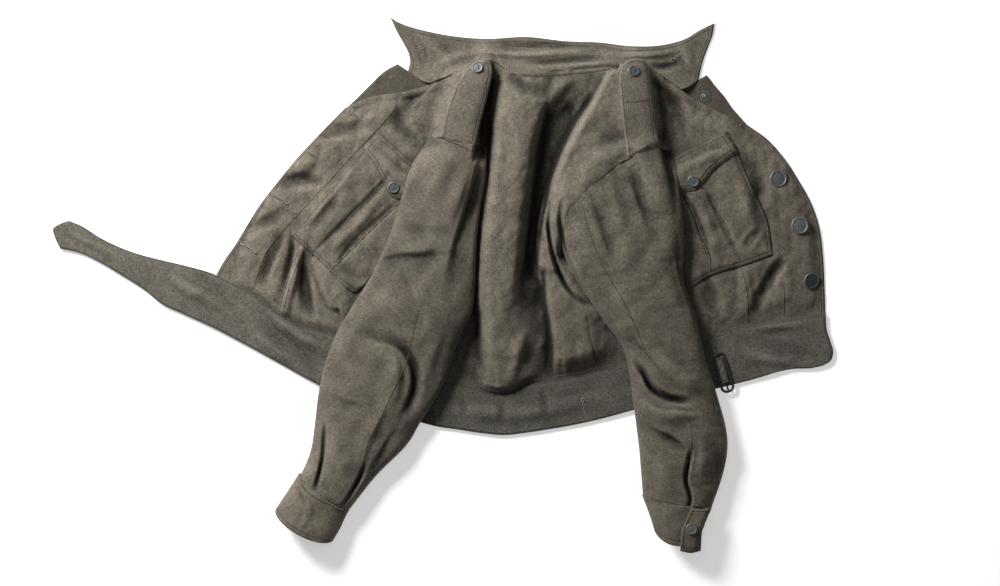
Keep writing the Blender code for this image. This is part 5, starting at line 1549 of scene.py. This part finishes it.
BUTTONHOLES = [
    ("front_left", (350, 112), (365.5, 123.4)), ("front_left", (309, 153), (322, 161)),
    ("front_left", (271, 194), (288, 204.6)), ("front_left", (240, 243.5), (257, 253)),
    ("collar", (419, 47), (423.5, 48.8)), ("collar", (672.5, 60), (681.5, 54)),
    ("waistband", (436.8, 408), (436.4, 419)),
    ("waistband", (582.7, 400), (586, 416)),
]
WITH_EYELET = 6 * MM
bound, slits = [], []
for surface, start, end in BUTTONHOLES:
    middle = ((start[0] + end[0]) / 2, (start[1] + end[1]) / 2)
    half = 0.5 * math.dist(start, end) * STEP
    at, along, beside, up = frame_at(surface, middle, start)
    bound.append(ring_tube(at + 0.5 * MM * up, along, beside, up, half, 1.2 * MM, 0.6 * MM))
    slits.append(oval_disc(at + 0.8 * MM * up, along, beside, half, 0.8 * MM))
    if half > WITH_EYELET:
        eye, along, beside, up = frame_at(surface, start, end)
        ring = eye + 0.5 * MM * up
        bound.append(ring_tube(ring, along, beside, up, 2.6 * MM, 2.3 * MM, 0.7 * MM))
        slits.append(oval_disc(eye + 0.9 * MM * up, along, beside, 2.1 * MM, 1.8 * MM))
for surface, spot, size in (
    ("collar", (411, 38), 1.3), ("lapel_left", (391, 77), 1.6),
    ("strap_left", (467, 93), 1.5), ("strap_left", (463, 113), 1.2),
    ("collar", (690.5, 45), 1.3),
):
    at, along, beside, up = frame_at(surface, spot, (spot[0] + 1, spot[1]))
    size, ring = size * MM, at + 0.2 * MM * up
    bound.append(ring_tube(ring, along, beside, up, size, size, 0.5 * MM, 14, 6))
    slits.append(oval_disc(at + 0.4 * MM * up, along, beside, 0.8 * size, 0.8 * size, 12))
# Near-black slits and holes: painted shade where the cloth opens.
slit_shade = two_tone("shadowed slit", (0.006, 0.005, 0.004), (0.022, 0.019, 0.015), 0.95,
                    800.0, 900.0, 0.3 * MM, 0.4)
binding = two_tone("buttonhole thread", (0.085, 0.078, 0.064), (0.30, 0.28, 0.24), 0.85,
                   700.0, 2000.0, 0.15 * MM, 0.6)
put_together("buttonhole_binding", bound, binding)
put_together("buttonhole_slits", slits, slit_shade)
print("buttonholes:", len(BUTTONHOLES), "with eyelets and marks:", len(slits))

# %% [markdown]
# ## Metal
#
# Buttons and buckle have been handled for years: a dull film all over, rubbed paler where fingers
# reach. A metal that was only grey would look like plastic, so two noises and the stored `shade`
# decide how much of the film is left.

# %% Metal
def metal(name, dark, pale, rough, scale):
    """Oxidised metal: dull dark film with paler rubbed spots and fine scratches."""
    make = Finish(name)
    film = make.noise(scale, 4.0, 0.65)
    fine = make.noise(scale * 6, 3.0, 0.6)
    rubbed = make.attribute("shade")
    wear = (film * 0.9 + fine * 0.5 + rubbed * 0.5 - 0.45).within(0.0, 1.0)
    colour = make.blend(wear, tint(*dark), tint(*pale))
    return make.finish(colour, (rough + (film - 0.5) * 0.3).within(0.2, 0.9),
                       film * 0.4 + fine * 0.6, 0.12 * MM, 0.5, Metallic=0.75)


pewter = metal("dull pewter", (0.055, 0.062, 0.066), (0.31, 0.34, 0.355), 0.50, 420.0)
bronze = metal("blackened bronze", (0.014, 0.012, 0.010), (0.11, 0.098, 0.08), 0.42, 380.0)
print("metals:", pewter.name, "and", bronze.name)

# %% [markdown]
# ## Buttons and press stud
#
# The buttons are pressed from sheet metal: a rolled rim, a shallow dish and a low pebbled middle.
# They are turned shapes, so one profile of shares of the radius and heights in mm makes each kind.

# %% Buttons and press stud
def turned(name, node, surface, place, radius, profile, relief, lift, sides):
    """A turned piece standing on a surface's normal. relief(share, turn) adds height in metres."""
    at, along, beside, up = frame_at(surface, place, (place[0] + 1, place[1]))
    shares, rises = np.array(profile)[:, 0], np.array(profile)[:, 1] * MM
    turn = np.arange(sides) * 2 * np.pi / sides
    around = np.cos(turn)[:, None] * along + np.sin(turn)[:, None] * beside
    bumps = relief(shares[:, None], turn[None])
    height = rises[:, None] + bumps + lift
    points = at + radius * shares[:, None, None] * around[None] + height[..., None] * up
    shade = np.where(shares > 0.85, 0.5, 0.0)[:, None] + bumps / (0.4 * MM)
    quads = grid_quads(len(shares), sides, closed=True)
    belong(mesh_object(name, points, quads, pewter, shade=shade), node)


DISH = [(0.50, 0.1), (0.80, 0.3), (0.95, 0.9), (1.0, 1.7), (0.985, 2.3), (0.94, 2.7), (0.88, 2.75),
        (0.83, 2.45), (0.79, 2.15), (0.72, 2.15), (0.64, 2.2), (0.56, 2.3), (0.47, 2.42),
        (0.38, 2.5), (0.29, 2.56), (0.20, 2.6), (0.11, 2.62), (0.004, 2.63)]
PLAIN = [(0.45, 0.1), (0.80, 0.3), (0.95, 0.8), (1.0, 1.5), (0.97, 2.0), (0.90, 2.25), (0.82, 2.1),
         (0.74, 1.85), (0.60, 1.8), (0.45, 1.9), (0.30, 2.0), (0.15, 2.05), (0.005, 2.06)]
STUD = [(1.0, 0.0), (1.0, 0.6), (0.92, 1.0), (0.75, 1.15), (0.62, 1.0), (0.5, 0.8), (0.42, 1.1),
        (0.34, 1.6), (0.2, 1.85), (0.01, 1.9)]


def pebbled(share, turn):
    """Low bumps on the middle: a ring wave times a wave round the button."""
    inside = ease((0.74 - share) / 0.12)
    return 0.22 * MM * inside * np.sin(9 * np.pi * share) * np.sin(7 * turn + 5 * share)


def smooth_top(share, turn):
    """No relief: zero all over."""
    return 0.0 * share * turn


BUTTONS = (  # node, surface, place on the plan, radius in mm, profile, relief, sides
    ("button_front_1", "front_right", (778, 178.7), 12.4, DISH, pebbled, 44),
    ("button_front_2", "front_right", (799.4, 225.7), 12.4, DISH, pebbled, 44),
    ("button_front_3", "front_right", (810.5, 280.4), 11.8, DISH, pebbled, 44),
    ("button_strap_left", "strap_left", (477.3, 68.5), 8.1, PLAIN, smooth_top, 32),
    ("button_strap_right", "strap_right", (633, 72), 8.1, PLAIN, smooth_top, 32),
    ("button_pocket_left", "flap_left", (393.8, 187.6), 8.1, PLAIN, smooth_top, 32),
    ("button_pocket_right", "flap_right", (692.8, 181.3), 8.1, PLAIN, smooth_top, 32),
    ("button_cuff_right", "cuff_tab", (690.5, 528), 8.1, PLAIN, smooth_top, 32),
)
for node, surface, place, radius, profile, relief, sides in BUTTONS:
    turned(node + "_metal", node, surface, place, radius * MM, profile, relief, 0.3 * MM, sides)
SNAP = (705.5, 96.5)
at, along, beside, up = frame_at("lapel_right", SNAP, (SNAP[0] + 1, SNAP[1]))
mark = ring_tube(at, along, beside, up, 6.8 * MM, 6.8 * MM, 0.9 * MM, 40, 8)
put_together("snap_mark", [mark], serge)
turned("snap_lapel_metal", "snap_lapel_right", "lapel_right", SNAP, 5.4 * MM, STUD,
       smooth_top, 0.1 * MM, 28)
print("buttons:", len(BUTTONS), "and a press stud")

# %% [markdown]
# ## Buckle
#
# The buckle is bent from round wire, with a bar along its middle for the cloth loop. A circle is
# carried along a closed run, and the run's ends are rounder than its sides. It hangs on a hinge
# in the frame, so it is its own body, and its height is read from the frame's solid.

# %% Buckle
BUCKLE_MIDDLE, BUCKLE_LEAN = (723.2, 372.6), (11.0, 39.5)
HALF_LENGTH, HALF_WIDTH, WIRE, BAR = 0.0300, 0.01075, 0.0019, 0.0014
ROUND, AROUND, BAR_RINGS = 96, 12, 25
UP = np.array([0.0, 0.0, 1.0])
bx, by = to_world(*BUCKLE_MIDDLE)
lean = np.array([BUCKLE_LEAN[0], -BUCKLE_LEAN[1], 0.0]) / math.hypot(*BUCKLE_LEAN)
beside = np.array([-lean[1], lean[0], 0.0])
low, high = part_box("buckle")
hub = np.array([float(bx), float(by), 0.5 * (low[2] + high[2])])
turn = np.linspace(0, 2 * np.pi, ROUND + 1)[:-1]
end = HALF_WIDTH - WIRE
away_long = (HALF_LENGTH - HALF_WIDTH) * np.sign(np.cos(turn)) * ease(np.abs(np.cos(turn)) * 2.2)
path = hub + (away_long + end * np.cos(turn))[:, None] * lean + (
    end * np.sign(np.sin(turn)) * np.abs(np.sin(turn)) ** 0.8)[:, None] * beside
side = np.cross(unit(np.roll(path, -1, axis=0) - np.roll(path, 1, axis=0)), UP)
roll = (np.arange(AROUND) * 2 * np.pi / AROUND)[:, None]
thick = WIRE * (1.0 + 0.05 * np.sin(5 * turn + 1))
rings = path[:, None] + thick[:, None, None] * (np.cos(roll) * side[:, None] + np.sin(roll) * UP)
reach = HALF_LENGTH - WIRE
bar_places = np.linspace(-reach, reach, BAR_RINGS)
bar = hub + bar_places[:, None, None] * lean + BAR * (np.cos(roll) * beside + np.sin(roll) * UP)
frame_quads = tube_quads(ROUND, AROUND)[:, [0, 3, 2, 1]]
bar_quads = grid_quads(BAR_RINGS, AROUND, closed=True) + ROUND * AROUND
rubbed = np.maximum(np.sin(roll[:, 0]), 0.0) ** 3
wear = np.concatenate([np.tile(0.5 * rubbed, ROUND), np.tile(0.3 * rubbed, BAR_RINGS)])
buckle = mesh_object("buckle_wire", np.concatenate([rings.reshape(-1, 3), bar.reshape(-1, 3)]),
                     np.concatenate([frame_quads, bar_quads]), bronze, shade=wear)
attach(buckle, "buckle")
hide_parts("buckle")
print("buckle:", 2 * HALF_LENGTH / MM, "by", 2 * HALF_WIDTH / MM, "mm")

# %% [markdown]
# ## Buckle loop
#
# A strip of the waistband's cloth is folded round the bar and sewn back on itself, so the buckle
# can rock on it. Its section is a flattened tube, pulled into small puckers by the bar.

# %% Buckle loop
LOOP_LONG, LOOP_WIDE, LOOP_DEEP, LOOP_SHIFT = 37.0 * MM, 5.4 * MM, 3.7 * MM, 3.5 * MM
GRID = (46, 44)
far = np.linspace(-0.5, 0.5, GRID[0])[:, None] * LOOP_LONG - LOOP_SHIFT
turn = (np.arange(GRID[1]) + 0.5)[None] * 2 * np.pi / GRID[1]
pucker = 0.22 * MM * np.sin(far / (1.9 * MM) + 2 * np.cos(turn)) * np.maximum(np.sin(turn), 0)
wide = LOOP_WIDE * np.sign(np.cos(turn)) * np.abs(np.cos(turn)) ** 0.8
deep = LOOP_DEEP * np.where(np.sin(turn) < 0, -np.abs(np.sin(turn)) ** 0.3, np.sin(turn))
points = (hub + far[..., None] * lean + (wide + pucker)[..., None] * beside
          + (deep - pucker)[..., None] * UP)
girth = float(np.linalg.norm(np.diff(points[:1], axis=1, append=points[:1, :1]), axis=-1).sum())
uv = np.stack(np.broadcast_arrays(turn * girth / (2 * np.pi), far), axis=-1)
# The loop's upper half is painted paler as highlight, its lower half darker as painted shade.
shade, rim, along = np.broadcast_arrays(
    0.5 * np.sin(turn), LOOP_LONG / 2 - np.abs(far + LOOP_SHIFT), turn * LOOP_DEEP)
loop = mesh_object("buckle_loop_cloth", points, grid_quads(*GRID, closed=True)[:, ::-1],
                   serge_band, uv, shade=shade, rim=rim, along=along)
sew(wall(loop, 1.6 * MM), "buckle_loop", (round(LOOP_LONG, 3), round(girth, 3)),
    round(LOOP_LONG * girth, 5))

# %% [markdown]
# ## Table
#
# The jacket lies on a white table that is far larger than the picture, so no edge of it shows. It
# glows a little, because a plain ground in a studio is lit brighter than the thing on it.

# %% Table
floor_mesh = bpy.data.meshes.new("table_top")
floor_mesh.from_pydata([(-6, -6, 0), (6, -6, 0), (6, 6, 0), (-6, 6, 0)], [], [(0, 1, 2, 3)])
table = linked(bpy.data.objects.new("table_top", floor_mesh))
paper = Finish("white table")
floor_mesh.materials.append(paper.finish(
    paper.blend(paper.noise(3.0), tint(0.90, 0.90, 0.90), tint(0.93, 0.93, 0.93)),
    paper.noise(40.0) * 0.1 + 0.55, Specular_IOR_Level=0.2,
    Emission_Color=tint(1.0, 1.0, 1.0), Emission_Strength=0.45))
print("table: 12 by 12 m")

# %% [markdown]
# ## Light
#
# Folds are read by their shading, so most light comes from one side: a big soft window at the upper
# left. A weak wide light from above and a pale room keep the hollows readable.

# %% Light
def soft_light(name, place, aim, size, power):
    """An area light at a place, turned towards a point of the table."""
    light = bpy.data.lights.new(name, "AREA")
    light.size, light.energy = size, power
    lamp = bpy.data.objects.new(name, light)
    lamp.location = place
    away = np.subtract(place, aim)
    tilt = math.acos(away[2] / np.linalg.norm(away))
    lamp.rotation_euler = (tilt, 0.0, math.atan2(away[1], away[0]) + math.pi / 2)
    linked(lamp)


soft_light("window", (-1.25, 1.40, 1.25), (0.05, 0.0, 0.0), 0.80, 98.0)
soft_light("ceiling", (0.3, 0.5, 3.4), (0.1, 0.0, 0.0), 2.4, 15.0)

world = bpy.data.worlds.new("pale room")
world.use_nodes = True
world.node_tree.nodes["Background"].inputs["Color"].default_value = tint(1.0, 1.0, 1.0)
world.node_tree.nodes["Background"].inputs["Strength"].default_value = 0.055
bpy.context.scene.world = world
bpy.context.scene.view_settings.view_transform = "Standard"
print("lights:", len(bpy.data.lights), "and", world.name)

# %% [markdown]
# ## Camera
#
# The camera looks straight down on the middle of the picture. It stands far away with a long lens,
# so the plan isn't bent by perspective and one plan step is one step of the picture.

# %% Camera
FAR, SENSOR = 8.0, 36.0
lens = bpy.data.cameras.new("camera")
lens.lens = SENSOR * FAR / (FRAME_SIZE[0] * STEP)
lens.sensor_width = SENSOR
lens.clip_end = 60.0
camera = linked(bpy.data.objects.new("camera", lens))
middle_x, middle_y = to_world(FRAME_SIZE[0] / 2, FRAME_SIZE[1] / 2)
camera.location = (middle_x, middle_y, FAR)
bpy.context.scene.camera = camera
print("camera over", round(float(middle_x), 4), round(float(middle_y), 4), "at", FAR, "m")

# %% [markdown]
# ## The end
#
# A dressed model should be as large as the solids that it covers.
